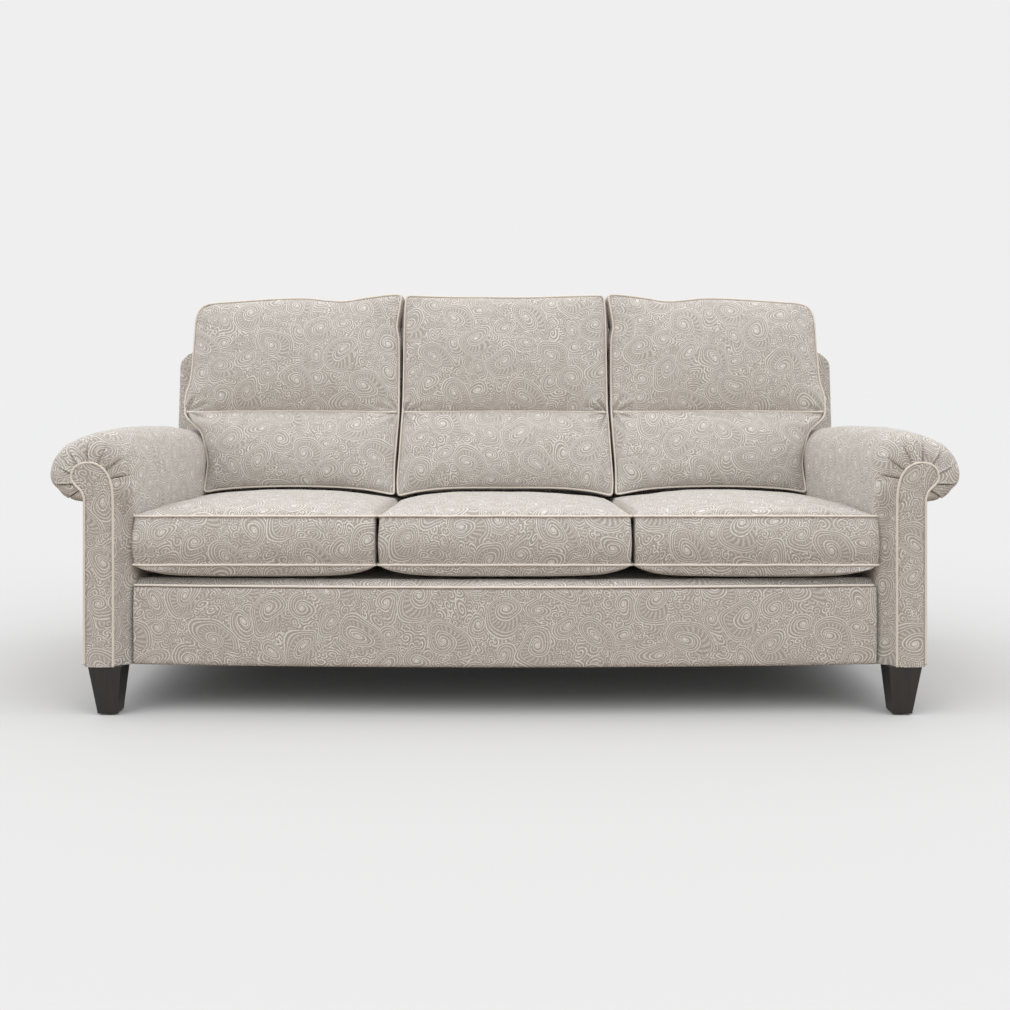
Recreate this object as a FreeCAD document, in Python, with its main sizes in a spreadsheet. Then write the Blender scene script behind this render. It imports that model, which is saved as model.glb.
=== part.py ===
import FreeCAD, Part
import math
import os

import Sketcher

Vector = FreeCAD.Vector
doc = FreeCAD.newDocument("HighBackSofa")

# Driving dimensions in millimetres, degrees for the tilts, and plain counts
SIZES = [
    ("seat_count", 3, "seats side by side"),
    ("seat_width", 582, "width of one seat between the arms"),
    ("inside_depth", 736, "facing plane to inside back, at the deck"),
    ("arm_width", 107, "thickness of an arm below its roll"),
    ("arm_overhang", 95, "roll beyond the outer face of the arm"),
    ("arm_height", 658, "top of the arm roll above the floor"),
    ("roll_drop", 163, "top of the roll to its underside"),
    ("roll_inner_radius", 85, "rounding between inside arm and roll top"),
    ("roll_outer_radius", 100, "upper outer rounding of the roll"),
    ("roll_under_radius", 63, "lower outer rounding of the roll"),
    ("roll_dome", 42, "depth over which the pleated front rounds off"),
    ("arm_front_set", 25, "inner arm front behind the facing plane"),
    ("arm_flare", 20, "outer arm face wider at the back than at the front"),
    ("facing_width", 65, "width of the straight part of the facing"),
    ("facing_thickness", 8, "thickness of the scroll facing"),
    ("facing_head_radius", 45, "outer rounding of the scroll facing"),
    ("facing_neck_radius", 50, "inner rounding of the scroll facing"),
    ("facing_head_set", 15, "centre of the facing head inside the arm's outer face"),
    ("facing_drop", 70, "top of the facing below the top of the roll"),
    ("leg_height", 113, "underside of the upholstery above the floor"),
    ("leg_width", 77, "leg width at its top"),
    ("leg_depth", 61, "leg depth at its top"),
    ("leg_foot", 45, "leg width and depth at its foot"),
    ("leg_outer_set", 7, "leg inside the arm's outer face"),
    ("leg_inner_taper", 9, "how far the inner leg face closes in"),
    ("leg_front_set", 3, "front leg behind the facing plane"),
    ("rear_leg_kick", 28, "how far the rear foot stands behind its top"),
    ("glide_radius", 14, "radius of a glide"),
    ("glide_height", 4, "height of a glide"),
    ("bolt_radius", 4, "radius of a leg bolt"),
    ("bolt_length", 85, "length of a leg bolt"),
    ("bolt_depth", 38, "length of a leg bolt inside its leg"),
    ("rear_bolt_edge", 11, "middle of a rear leg bolt before the rear face of its post"),
    ("border_height", 183, "height of the front border"),
    ("border_bow", 30, "forward bow of the front border"),
    ("border_set", 22, "ends of the front border behind the facing plane"),
    ("lip_rise", 22, "front of the deck above the front border"),
    ("lip_round", 12, "slope at the front edge of the deck"),
    ("platform_thickness", 20, "thickness of the seat platform"),
    ("insulator_thickness", 4, "thickness of the spring insulator"),
    ("seat_tilt", 2.5, "backward tilt of the seat deck"),
    ("back_rake", 6, "backward rake of the back"),
    ("back_thickness", 115, "thickness of the upholstered back"),
    ("back_height", 875, "top of the back frame above the floor"),
    ("back_chamfer", 25, "cut of the top corners of the back"),
    ("back_tuck", 4, "bottom of the back cover above the deck"),
    ("back_pad", 30, "thickness of the inside back pad"),
    ("webbing_thickness", 2.5, "thickness of the back webbing"),
    ("webbing_width", 50, "width of a webbing strap"),
    ("webbing_count", 9, "number of back webbing straps"),
    ("rail_thickness", 32, "thickness of the seat rails"),
    ("side_rail_height", 100, "height of the side rails"),
    ("cross_rail_height", 60, "height of the cross rails"),
    ("cross_rail_lift", 37, "cross rails above the underside"),
    ("block_leg", 70, "length of a corner block along each rail"),
    ("block_height", 70, "height of a corner block"),
    ("block_lift", 17, "corner block above the underside"),
    ("front_rail_set", 45, "front rail behind the facing plane"),
    ("post_thickness", 22, "thickness of the scroll-shaped front posts"),
    ("side_rail_outset", 55, "outer side rail face inside the arm's outer face"),
    ("back_post_depth", 45, "depth of the back posts"),
    ("back_post_top", 15, "top of the back posts below the top of the back"),
    ("back_rail_height", 50, "height of the top back rail"),
    ("centre_post_width", 40, "width of a back centre post"),
    ("tacking_rail_height", 40, "height of a tacking rail"),
    ("tacking_rail_depth", 20, "thickness of a tacking rail"),
    ("tacking_rail_lift", 217, "tacking rails above the underside"),
    ("arm_rail_width", 48, "width of an arm top rail"),
    ("arm_rail_height", 35, "height of an arm top rail"),
    ("arm_rail_drop", 85, "top of the arm rail below the top of the roll"),
    ("arm_pad_thickness", 22, "thickness of the inside arm pad"),
    ("dowel_radius", 5, "radius of a frame dowel"),
    ("dowel_length", 56, "length of a frame dowel"),
    ("dowel_pitch", 50, "distance between the two dowels of a joint"),
    ("springs_per_seat", 4, "serpentine springs under each seat"),
    ("spring_wire", 1.9, "radius of the spring wire"),
    ("spring_cross", 30, "straight cross run of a spring"),
    ("spring_bends", 20, "bends in a spring"),
    ("clip_width", 22, "width of a spring clip"),
    ("clip_depth", 14, "depth of a spring clip"),
    ("clip_wall", 1.6, "wall of a spring clip round the wire"),
    ("fabric", 2, "thickness of a lined fabric cover"),
    ("dust_cover_thickness", 1.5, "thickness of the dust cover"),
    ("piping_radius", 4, "radius of the piping"),
    ("soft_gap", 0.3, "clearance between soft pieces"),
    ("dome_gap", 1, "clearance between a pleated front and the facing's piping"),
    ("fit_gap", 0.15, "clearance round bolts, dowels and spring wires"),
    ("fill_gap", 0.5, "clearance between a cushion cover and its filling"),
    ("cushion_gap", 1, "gap between neighbouring cushions"),
    ("seat_cushion_set", 8, "front of the seat cushions behind the facing plane"),
    ("seat_under_crown", 27, "deck to the lower seam of a seat cushion"),
    ("seat_boxing", 114, "lower seam to upper seam of a seat cushion"),
    ("seat_crown", 30, "upper seam to the top of a seat cushion"),
    ("seat_corner", 42, "corner radius of a seat cushion"),
    ("draw_in", 5, "how far cushion sides pull in between corners"),
    ("back_cushion_width", 596, "width of the middle back cushion over its piping"),
    ("back_cushion_floor", 454, "bottom of the back cushions along the rake"),
    ("back_cushion_waist", 226, "bottom of a back cushion to its waist seam"),
    ("back_cushion_head", 342, "waist seam to the top of a back cushion"),
    ("back_cushion_low", 156, "thickness of a back cushion at its bottom"),
    ("back_cushion_high", 116, "thickness of a back cushion at its top"),
    ("back_cushion_crown", 28, "front crown of a back cushion panel"),
    ("back_cushion_hollow", 10, "rear crown of a back cushion"),
    ("back_cushion_round", 18, "width over which the rear of a back cushion rounds off"),
    ("back_cushion_arch", 16, "rise of the bottom edge over the seat crown"),
    ("back_cushion_corner", 16, "corner radius of a back cushion"),
    ("shoulder_out", 62, "outer back cushions over the arm at the waist"),
    ("shoulder_top_out", 46, "outer back cushions over the arm at the top"),
    ("shoulder_rise", 85, "height over which they step out below the waist"),
]

# Positions and derived sizes; y runs backward from the front, z is the height above the floor
LAYOUT = [
    ("arm_in", "Sizes.seat_count * Sizes.seat_width / 2", "inner arm face from the middle"),
    ("arm_out", "arm_in + Sizes.arm_width", "outer arm face from the middle"),
    ("roll_out", "arm_out + Sizes.arm_overhang", "outermost of the roll from the middle"),
    ("roll_low", "Sizes.arm_height - Sizes.roll_drop", "underside of the roll"),
    ("facing_in", "arm_out - Sizes.facing_width", "inner edge of the facing"),
    ("facing_top", "Sizes.arm_height - Sizes.facing_drop", "top of the facing"),
    ("head_x", "arm_out - Sizes.facing_head_set", "middle of the facing head"),
    ("back_half", "arm_out + Sizes.arm_flare", "half the width of the back"),
    ("floor_z", "Sizes.leg_height", "underside of the upholstery"),
    ("border_top", "floor_z + Sizes.border_height", "top of the front border"),
    ("deck_z", "border_top + Sizes.lip_rise", "front of the deck"),
    ("lean", "tan(Sizes.back_rake * 1 deg)", "back rake as a slope"),
    ("drop", "tan(Sizes.seat_tilt * 1 deg)", "seat tilt as a slope"),
    ("proud", "Sizes.border_bow - Sizes.border_set", "bow past the facings"),
    ("depth_all", "proud + Sizes.inside_depth + Sizes.back_thickness"
     " + (Sizes.back_height - deck_z) * lean", "overall depth"),
    ("front_y", "proud - depth_all / 2", "facing plane"),
    ("deck_y", "front_y + Sizes.border_set", "front line of the deck slope"),
    ("back_foot", "front_y + Sizes.inside_depth - deck_z * lean", "inside back plane at the floor"),
    ("deck_rear", "deck_z - (Sizes.inside_depth - Sizes.border_set) * drop", "rear of the deck"),
    ("back_low", "deck_rear + Sizes.back_tuck", "bottom of the back cover"),
    ("seat_cushion_depth", "back_foot + (deck_rear + Sizes.seat_under_crown) * lean - front_y"
     " - Sizes.seat_cushion_set - 3 * Sizes.cushion_gap", "depth of a seat cushion over its piping"),
    ("rail_x", "arm_out - Sizes.side_rail_outset", "inner face of the side rails"),
    ("rail_y", "front_y + Sizes.front_rail_set", "front face of the front rail"),
    ("post_y", "front_y + Sizes.facing_thickness", "front face of the scroll posts"),
    ("post_back", "post_y + Sizes.post_thickness", "rear face of the scroll posts"),
    ("frame_depth", "Sizes.fabric + Sizes.soft_gap + Sizes.back_pad + Sizes.webbing_thickness"
     " + Sizes.soft_gap", "inside back face to the wooden back frame"),
    ("post_top", "Sizes.back_height - Sizes.back_post_top", "top of the back posts"),
    ("top_rail_low", "post_top - Sizes.back_rail_height", "underside of the top back rail"),
    ("tack_low", "floor_z + Sizes.tacking_rail_lift", "underside of the tacking rails"),
    ("tack_top", "tack_low + Sizes.tacking_rail_height", "top of the tacking rails"),
    ("arm_rail_top", "Sizes.arm_height - Sizes.arm_rail_drop", "top of the arm top rails"),
    ("arm_rail_low", "arm_rail_top - Sizes.arm_rail_height", "underside of the arm top rails"),
    ("wire_drop", "Sizes.platform_thickness + Sizes.insulator_thickness + 2 * Sizes.soft_gap"
     " + Sizes.spring_wire", "deck surface to the spring wire's middle"),
    ("clip_half", "Sizes.spring_wire + Sizes.fit_gap + Sizes.clip_wall", "half a clip's height"),
    ("spring_front", "rail_y + Sizes.rail_thickness / 2", "front end of the springs"),
    ("spring_rear", "back_foot + deck_rear * lean + frame_depth", "rear end of the springs"),
    ("front_wire_z", "deck_z - (spring_front - deck_y) * drop - wire_drop", "wire at the front"),
    ("rear_wire_z", "deck_z - (spring_rear - deck_y) * drop - wire_drop", "wire at the rear"),
    ("front_rail_top", "front_wire_z - clip_half", "top of the front rail"),
    ("rear_rail_top", "rear_wire_z - clip_half", "top of the rear rail"),
    ("leg_out", "arm_out - Sizes.leg_outer_set", "outer leg face"),
    ("leg_in", "leg_out - Sizes.leg_width", "inner leg face"),
    ("foot_in", "leg_in + Sizes.leg_inner_taper", "inner leg face at the foot"),
    ("foot_out", "foot_in + Sizes.leg_foot", "outer leg face at the foot"),
    ("front_leg_y", "front_y + Sizes.leg_front_set", "front face of the front legs"),
    ("rear_leg_y", "back_foot + floor_z * lean + frame_depth", "front face of the rear legs"),
    ("bolt_x", "rail_x + Sizes.rail_thickness / 2", "middle of the leg bolts"),
    ("front_bolt_y", "(post_back + front_leg_y + Sizes.leg_depth) / 2", "middle of the front leg bolts"),
    ("rear_bolt_y", "rear_leg_y + Sizes.back_post_depth - Sizes.rear_bolt_edge",
     "middle of the rear leg bolts"),
]


def make_sheet(name, rows, prefix=""):
    """Write one row of the sheet for each dimension: its meaning, its name and its content."""
    sheet = doc.addObject("Spreadsheet::Sheet", name)
    for line, (alias, content, meaning) in enumerate(rows, start=1):
        sheet.set(f"A{line}", meaning)
        sheet.set(f"B{line}", prefix + str(content))
        sheet.setAlias(f"B{line}", alias)
    return sheet


sizes = make_sheet("Sizes", SIZES)
layout = make_sheet("Layout", LAYOUT, prefix="=")
doc.recompute()

nodes = {}


def keep(label, item):
    """Make an object a named piece of the sofa."""
    item.Label = label
    nodes[label] = item
    return item


def value(expression):
    """The number that an expression of the two sheets gives."""
    return float(sizes.evalExpression(expression))


def bind(item, expressions):
    for name, expression in expressions.items():
        item.setExpression(name, expression)
    return item


def back_at(depth, height):
    """The y of a point that lies so deep behind the inside back plane, at a height."""
    return f"Layout.back_foot + ({height}) * Layout.lean + ({depth})"


def mirror(source, name):
    """The left-hand copy of a right-hand piece."""
    copy = doc.addObject("Part::Mirroring", name)
    copy.Source = source
    copy.Normal = Vector(1, 0, 0)
    copy.Base = Vector(0, 0, 0)
    return copy


def pair(label, right):
    """One piece on each side of the sofa, left and right as seen from the front."""
    keep(label + "_right", right)
    keep(label + "_left", mirror(right, label + "_left"))


def group(label, members):
    """Several separate solids in one node."""
    compound = doc.addObject("Part::Compound", label)
    compound.Links = members
    return keep(label, compound)


def both_sides(label, *members):
    """A node with right-hand solids and their mirror images."""
    return group(label, [*members, *[mirror(item, item.Name + "_mirror") for item in members]])


def cut(base, tool, name):
    result = doc.addObject("Part::Cut", name)
    result.Base = base
    result.Tool = tool
    return result


def block(name, across, along, height, across_top=None, along_top=None):
    """A block between a lower and an upper rectangle, which may be moved or smaller."""
    across_top = across_top or across
    along_top = along_top or along
    item = doc.addObject("Part::Wedge", name)
    item.Placement = FreeCAD.Placement(Vector(), FreeCAD.Rotation(Vector(1, 0, 0), 90))
    return bind(item, {
        "Ymin": height[0], "Ymax": height[1],
        "Xmin": across[0], "Xmax": across[1],
        "X2min": across_top[0], "X2max": across_top[1],
        "Zmin": f"-({along[1]})", "Zmax": f"-({along[0]})",
        "Z2min": f"-({along_top[1]})", "Z2max": f"-({along_top[0]})",
    })


def raked_block(name, across, depth, height):
    """A block that leans with the back, between two depths behind the inside back plane."""
    low = [back_at(edge, height[0]) for edge in depth]
    high = [back_at(edge, height[1]) for edge in depth]
    return block(name, across, low, height, along_top=high)


def rod(name, radius, length, place, axis=Vector(0, 0, 1)):
    """A round rod from a point along an axis."""
    item = doc.addObject("Part::Cylinder", name)
    item.Placement = FreeCAD.Placement(Vector(), FreeCAD.Rotation(Vector(0, 0, 1), axis))
    bind(item, {"Radius": radius, "Height": length})
    return bind(item, {f"Placement.Base.{key}": place[key] for key in place})


def outline_body(name, role, corners, bends, start, depth):
    """A sketched outline, padded: corners are pairs of expressions, bends the edges that are arcs.

    The outline runs clockwise or anticlockwise; a bend gives its edge's radius and the side on
    which its centre lies, 1 for the left of the edge's direction and -1 for the right.
    """
    body = doc.addObject("PartDesign::Body", name)
    sketch = body.newObject("Sketcher::SketchObject", name + "_outline")
    planes = {plane.Role: plane for plane in body.Origin.OriginFeatures}
    sketch.AttachmentSupport = [(planes[role], "")]
    sketch.MapMode = "FlatFace"
    points = [Vector(value(u), value(v), 0) for u, v in corners]
    count = len(points)
    for index, first in enumerate(points):
        last = points[(index + 1) % count]
        if index not in bends:
            sketch.addGeometry(Part.LineSegment(first, last))
            continue
        radius, side = value(bends[index][0]), bends[index][1]
        chord = last - first
        to_left = Vector(-chord.y, chord.x, 0).normalize()
        reach = math.sqrt(radius ** 2 - (chord.Length / 2) ** 2)
        centre = (first + last) * 0.5 + to_left * (reach * side)
        middle = centre - to_left * (radius * side)
        sketch.addGeometry(Part.Arc(first, middle, last))
    ends = arc_ends(sketch, points)
    for index in range(count):
        following = (index + 1) % count
        link = Sketcher.Constraint("Coincident", index, ends[index][1], following, ends[following][0])
        sketch.addConstraint(link)
    for index, (u, v) in enumerate(corners):
        place = points[index]
        for kind, expression, amount in (("DistanceX", u, place.x), ("DistanceY", v, place.y)):
            fixed = Sketcher.Constraint(kind, -1, 1, index, ends[index][0], amount)
            number = sketch.addConstraint(fixed)
            sketch.setExpression(f"Constraints[{number}]", expression)
    for index, (radius, side) in bends.items():
        number = sketch.addConstraint(Sketcher.Constraint("Radius", index, value(radius)))
        sketch.setExpression(f"Constraints[{number}]", radius)
    sketch.setExpression("AttachmentOffset.Base.z", start)
    pad = body.newObject("PartDesign::Pad", name + "_pad")
    pad.Profile = sketch
    pad.Length = value(depth)
    pad.setExpression("Length", depth)
    return body


def arc_ends(sketch, points):
    """Which end of each sketched edge is its start along the outline."""
    ends = []
    for index, point in enumerate(points):
        edge = sketch.Geometry[index]
        forward = (edge.StartPoint - point).Length < (edge.EndPoint - point).Length
        ends.append((1, 2) if forward else (2, 1))
    return ends


# An outline in the XZ plane is padded towards the front, so it starts at its rear face
def front_outline(name, corners, bends, front, thickness):
    return outline_body(name, "XZ_Plane", corners, bends, f"-(({front}) + ({thickness}))", thickness)


# Legs, glides and leg bolts
def leg(name, front, kick):
    top_along = (front, f"{front} + Sizes.leg_depth")
    foot_along = (f"{front} + {kick}", f"{front} + {kick} + Sizes.leg_foot")
    return block(name + "_wood", ("Layout.foot_in", "Layout.foot_out"), foot_along,
                 ("Sizes.glide_height", "Layout.floor_z"),
                 ("Layout.leg_in", "Layout.leg_out"), top_along)


def bolt(name, y, clearance=""):
    place = {"x": "Layout.bolt_x", "y": y, "z": "Layout.floor_z - Sizes.bolt_depth"}
    return rod(name, "Sizes.bolt_radius" + clearance, "Sizes.bolt_length", place)


def glide(name, front, kick):
    place = {"x": "(Layout.foot_in + Layout.foot_out) / 2", "y": f"{front} + {kick} + Sizes.leg_foot / 2"}
    return rod(name, "Sizes.glide_radius", "Sizes.glide_height", place)


front_hole = bolt("front_bolt_hole", "Layout.front_bolt_y", " + Sizes.fit_gap")
rear_hole = bolt("rear_bolt_hole", "Layout.rear_bolt_y", " + Sizes.fit_gap")
pair("front_leg", cut(leg("front_leg", "Layout.front_leg_y", "0"), front_hole, "front_leg"))
pair("rear_leg", cut(leg("rear_leg", "Layout.rear_leg_y", "Sizes.rear_leg_kick"), rear_hole, "rear_leg"))
both_sides("leg_glides", glide("front_glide", "Layout.front_leg_y", "0"),
           glide("rear_glide", "Layout.rear_leg_y", "Sizes.rear_leg_kick"))
both_sides("leg_bolts", bolt("front_bolt", "Layout.front_bolt_y"),
           bolt("rear_bolt", "Layout.rear_bolt_y"))


# Dowels join the front and rear rails to the side rails and back posts
def dowel(name, y, z, clearance=""):
    place = {"x": f"Layout.rail_x - Sizes.dowel_length / 2 {clearance.replace('+', '-')}", "y": y, "z": z}
    length = f"Sizes.dowel_length {clearance} {clearance}"
    return rod(name, f"Sizes.dowel_radius {clearance}", length, place, Vector(1, 0, 0))


DOWEL_LIFT = "Layout.floor_z + Sizes.side_rail_height / 2"
DOWELS = {}
for level, side in (("low", -1), ("high", 1)):
    height = f"{DOWEL_LIFT} + {side} * Sizes.dowel_pitch / 2"
    front_middle = "Layout.rail_y + Sizes.rail_thickness / 2"
    rear_middle = back_at("Layout.frame_depth + Sizes.rail_thickness / 2", height)
    DOWELS[f"front_{level}"] = (front_middle, height)
    DOWELS[f"rear_{level}"] = (rear_middle, height)
dowels = [dowel(f"{key}_dowel", *spot) for key, spot in DOWELS.items()]
dowel_holes = doc.addObject("Part::Compound", "dowel_holes")
hole_rods = [dowel(f"{key}_dowel_hole", *spot, "+ Sizes.fit_gap") for key, spot in DOWELS.items()]
dowel_holes.Links = [*hole_rods, *[mirror(item, item.Name + "_mirror") for item in hole_rods]]
both_sides("frame_dowels", *dowels)

# Seat frame
BETWEEN_RAILS = ("-Layout.rail_x", "Layout.rail_x")
front_rail = block("front_rail_wood", BETWEEN_RAILS,
                   ("Layout.rail_y", "Layout.rail_y + Sizes.rail_thickness"),
                   ("Layout.floor_z", "Layout.front_rail_top"))
keep("front_rail", cut(front_rail, dowel_holes, "front_rail"))
rear_rail = raked_block("rear_rail_wood", BETWEEN_RAILS,
                        ("Layout.frame_depth", "Layout.frame_depth + Sizes.rail_thickness"),
                        ("Layout.floor_z", "Layout.rear_rail_top"))
keep("rear_rail", cut(rear_rail, dowel_holes, "rear_rail"))
side_top = "Layout.floor_z + Sizes.side_rail_height"
side_rail = block("side_rail_wood", ("Layout.rail_x", "Layout.rail_x + Sizes.rail_thickness"),
                  ("Layout.post_back", back_at("Layout.frame_depth", "Layout.floor_z")),
                  ("Layout.floor_z", side_top),
                  along_top=("Layout.post_back", back_at("Layout.frame_depth", side_top)))
side_rail = cut(side_rail, front_hole, "side_rail_drilled")
both_sides("side_rails", cut(side_rail, dowel_holes, "side_rail"))
cross_low = "Layout.floor_z + Sizes.cross_rail_lift"
cross_top = f"{cross_low} + Sizes.cross_rail_height"
cross_rails = []
for number in range(1, int(sizes.seat_count)):
    middle = f"{number} * Sizes.seat_width - Layout.arm_in"
    cross_rails.append(block(
        f"cross_rail_{number}",
        (f"{middle} - Sizes.rail_thickness / 2", f"{middle} + Sizes.rail_thickness / 2"),
        ("Layout.rail_y + Sizes.rail_thickness", back_at("Layout.frame_depth", cross_low)),
        (cross_low, cross_top),
        along_top=("Layout.rail_y + Sizes.rail_thickness", back_at("Layout.frame_depth", cross_top))))
group("cross_rails", cross_rails)


def corner_block(name, corner_y, side):
    """A triangular block in a corner of the seat frame; side is 1 where it lies behind corner_y."""
    corners = [("Layout.rail_x", corner_y), ("Layout.rail_x - Sizes.block_leg", corner_y),
               ("Layout.rail_x", f"{corner_y} + {side} * Sizes.block_leg")]
    return outline_body(name, "XY_Plane", corners, {}, "Layout.floor_z + Sizes.block_lift",
                        "Sizes.block_height")


rear_corner = back_at("Layout.frame_depth", "Layout.floor_z + Sizes.block_lift")
both_sides("corner_blocks", corner_block("front_block", "Layout.rail_y + Sizes.rail_thickness", 1),
           corner_block("rear_block", rear_corner, -1))

# Scroll facing outline, shared by the front posts, the facings and the openings for them
def facing_corners(grow):
    """The facing's corners and bends, with its edges moved outward by grow."""
    neck = "Sizes.facing_neck_radius"
    head = "Sizes.facing_head_radius"
    inner = f"Layout.facing_in - {grow}"
    outer = f"Layout.arm_out + {grow}"
    neck_z = f"Layout.facing_top - {neck}"
    head_z = f"Layout.facing_top - {head}"
    reach = f"sqrt(({head} + {grow})^2 - (Sizes.facing_head_set + {grow})^2)"
    corners = [
        (inner, "Layout.floor_z"), (outer, "Layout.floor_z"), (outer, f"{head_z} - {reach}"),
        (f"Layout.head_x + {head} + {grow}", head_z), ("Layout.head_x", f"Layout.facing_top + {grow}"),
        (f"Layout.head_x - {neck} - {grow}", neck_z),
    ]
    bends = {2: (f"{head} + {grow}", 1), 3: (f"{head} + {grow}", 1), 4: (f"{neck} + {grow}", 1)}
    return corners, bends


post_corners, post_bends = facing_corners("0")
both_sides("arm_front_posts", front_outline("front_post", post_corners, post_bends,
                                            "Layout.post_y", "Sizes.post_thickness"))
facing = front_outline("facing_panel", post_corners, post_bends, "Layout.front_y", "Sizes.facing_thickness")
pair("arm_facing", facing)

# Arm rails
arm_rail_x = ("Layout.arm_out - Sizes.arm_rail_width", "Layout.arm_out")


def arm_bar(name, across, low, top):
    """A rail from the front post to the raked back post."""
    return block(name, across, ("Layout.post_back", back_at("Layout.frame_depth", low)), (low, top),
                 along_top=("Layout.post_back", back_at("Layout.frame_depth", top)))


both_sides("arm_top_rails", arm_bar("arm_rail", arm_rail_x, "Layout.arm_rail_low", "Layout.arm_rail_top"))
both_sides("arm_tacking_rails",
           arm_bar("arm_tack", ("Layout.rail_x", "Layout.rail_x + Sizes.tacking_rail_depth"),
                   "Layout.tack_low", "Layout.tack_top"))

# Back frame
back_post = raked_block("back_post_wood", ("Layout.rail_x", "Layout.rail_x + Sizes.rail_thickness"),
                        ("Layout.frame_depth", "Layout.frame_depth + Sizes.back_post_depth"),
                        ("Layout.floor_z", "Layout.post_top"))
back_post = cut(back_post, rear_hole, "back_post_drilled")
both_sides("back_posts", cut(back_post, dowel_holes, "back_post"))
keep("back_top_rail", raked_block("back_top_rail", BETWEEN_RAILS,
                                  ("Layout.frame_depth", "Layout.frame_depth + Sizes.back_post_depth"),
                                  ("Layout.top_rail_low", "Layout.post_top")))
tack_back = "Layout.frame_depth + Sizes.tacking_rail_depth"
keep("back_tacking_rail", raked_block("back_tacking_rail", BETWEEN_RAILS, ("Layout.frame_depth", tack_back),
                                      ("Layout.tack_low", "Layout.tack_top")))
centre_posts = []
for number in range(1, int(sizes.seat_count)):
    middle = f"{number} * Sizes.seat_width - Layout.arm_in"
    centre_posts.append(raked_block(
        f"centre_post_{number}",
        (f"{middle} - Sizes.centre_post_width / 2", f"{middle} + Sizes.centre_post_width / 2"),
        (tack_back, "Layout.frame_depth + Sizes.back_post_depth"),
        ("Layout.rear_rail_top", "Layout.top_rail_low")))
group("back_centre_posts", centre_posts)
straps = []
for number in range(int(sizes.webbing_count)):
    middle = f"({2 * number + 1} / Sizes.webbing_count - 1) * Layout.rail_x"
    straps.append(raked_block(
        f"strap_{number + 1}",
        (f"{middle} - Sizes.webbing_width / 2", f"{middle} + Sizes.webbing_width / 2"),
        ("Layout.frame_depth - Sizes.webbing_thickness", "Layout.frame_depth"),
        ("Layout.tack_low", "Layout.post_top")))
group("back_webbing", straps)


# Serpentine springs and the clips that hold their ends
def spring_shape():
    """One spring along y: cross runs joined by half-round bends, in a level plane."""
    length = (layout.spring_rear - layout.spring_front) / math.cos(math.radians(sizes.seat_tilt))
    bend = length / sizes.spring_bends / 2
    half = sizes.spring_cross / 2
    edges = []
    side = -1
    for turn in range(int(sizes.spring_bends) + 1):
        along = 2 * bend * turn
        start = Vector(side * half, along, 0)
        stop = Vector(-side * half, along, 0)
        edges.append(Part.LineSegment(start, stop).toShape())
        if turn < sizes.spring_bends:
            bulge = stop + Vector(-side * bend, bend, 0)
            edges.append(Part.Arc(stop, bulge, stop + Vector(0, 2 * bend, 0)).toShape())
        side = -side
    path = Part.Wire(edges)
    section = Part.Circle(Vector(-half, 0, 0), Vector(1, 0, 0), sizes.spring_wire).toShape()
    return path.makePipeShell([Part.Wire(section)], True, False)


def spring_places():
    """The x of every spring."""
    pitch = sizes.seat_width / sizes.springs_per_seat
    count = int(sizes.seat_count * sizes.springs_per_seat)
    return [pitch * (number + 0.5) - layout.arm_in for number in range(count)]


def soft_feature(label, shape, base=Vector(), tilt=0.0):
    """A piece whose shape is set directly, with its placement after it."""
    item = doc.addObject("Part::Feature", label)
    item.Shape = shape
    item.Placement = FreeCAD.Placement(base, FreeCAD.Rotation(Vector(1, 0, 0), tilt))
    return keep(label, item)


spring = spring_shape()
springs = Part.makeCompound([spring.translated(Vector(x, 0, 0)) for x in spring_places()])
soft_feature("seat_springs", springs, Vector(0, layout.spring_front, layout.front_wire_z), -sizes.seat_tilt)
clip_box = block("clip_box", ("-Sizes.clip_width / 2", "Sizes.clip_width / 2"),
                 ("-Sizes.clip_depth / 2", "Sizes.clip_depth / 2"),
                 ("-Layout.clip_half", "Layout.clip_half"))
clip_bore = rod("clip_bore", "Sizes.spring_wire + Sizes.fit_gap", "Sizes.clip_width",
                {"x": "-Sizes.clip_width / 2"}, Vector(1, 0, 0))
clip = cut(clip_box, clip_bore, "clip")
doc.recompute()
clips = []
for x in spring_places():
    clips.append(clip.Shape.translated(Vector(x, layout.spring_front, layout.front_wire_z)))
    clips.append(clip.Shape.translated(Vector(x, layout.spring_rear, layout.rear_wire_z)))
soft_feature("spring_clips", Part.makeCompound(clips))


# Deck: slabs that follow the seat tilt, between two drops below the deck surface
def deck_at(drop, y):
    return f"Layout.deck_z - (({y}) - Layout.deck_y) * Layout.drop - ({drop})"


def border_line(set_back):
    """Front and ends of the bowed seat front, moved back; the rear edge is left to the caller."""
    side = "Layout.arm_in - Sizes.soft_gap"
    ends = f"Layout.front_y + Sizes.border_set + {set_back}"
    radius = f"((({side})^2 + Sizes.border_bow^2) / (2 * Sizes.border_bow))"
    return side, ends, radius


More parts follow.
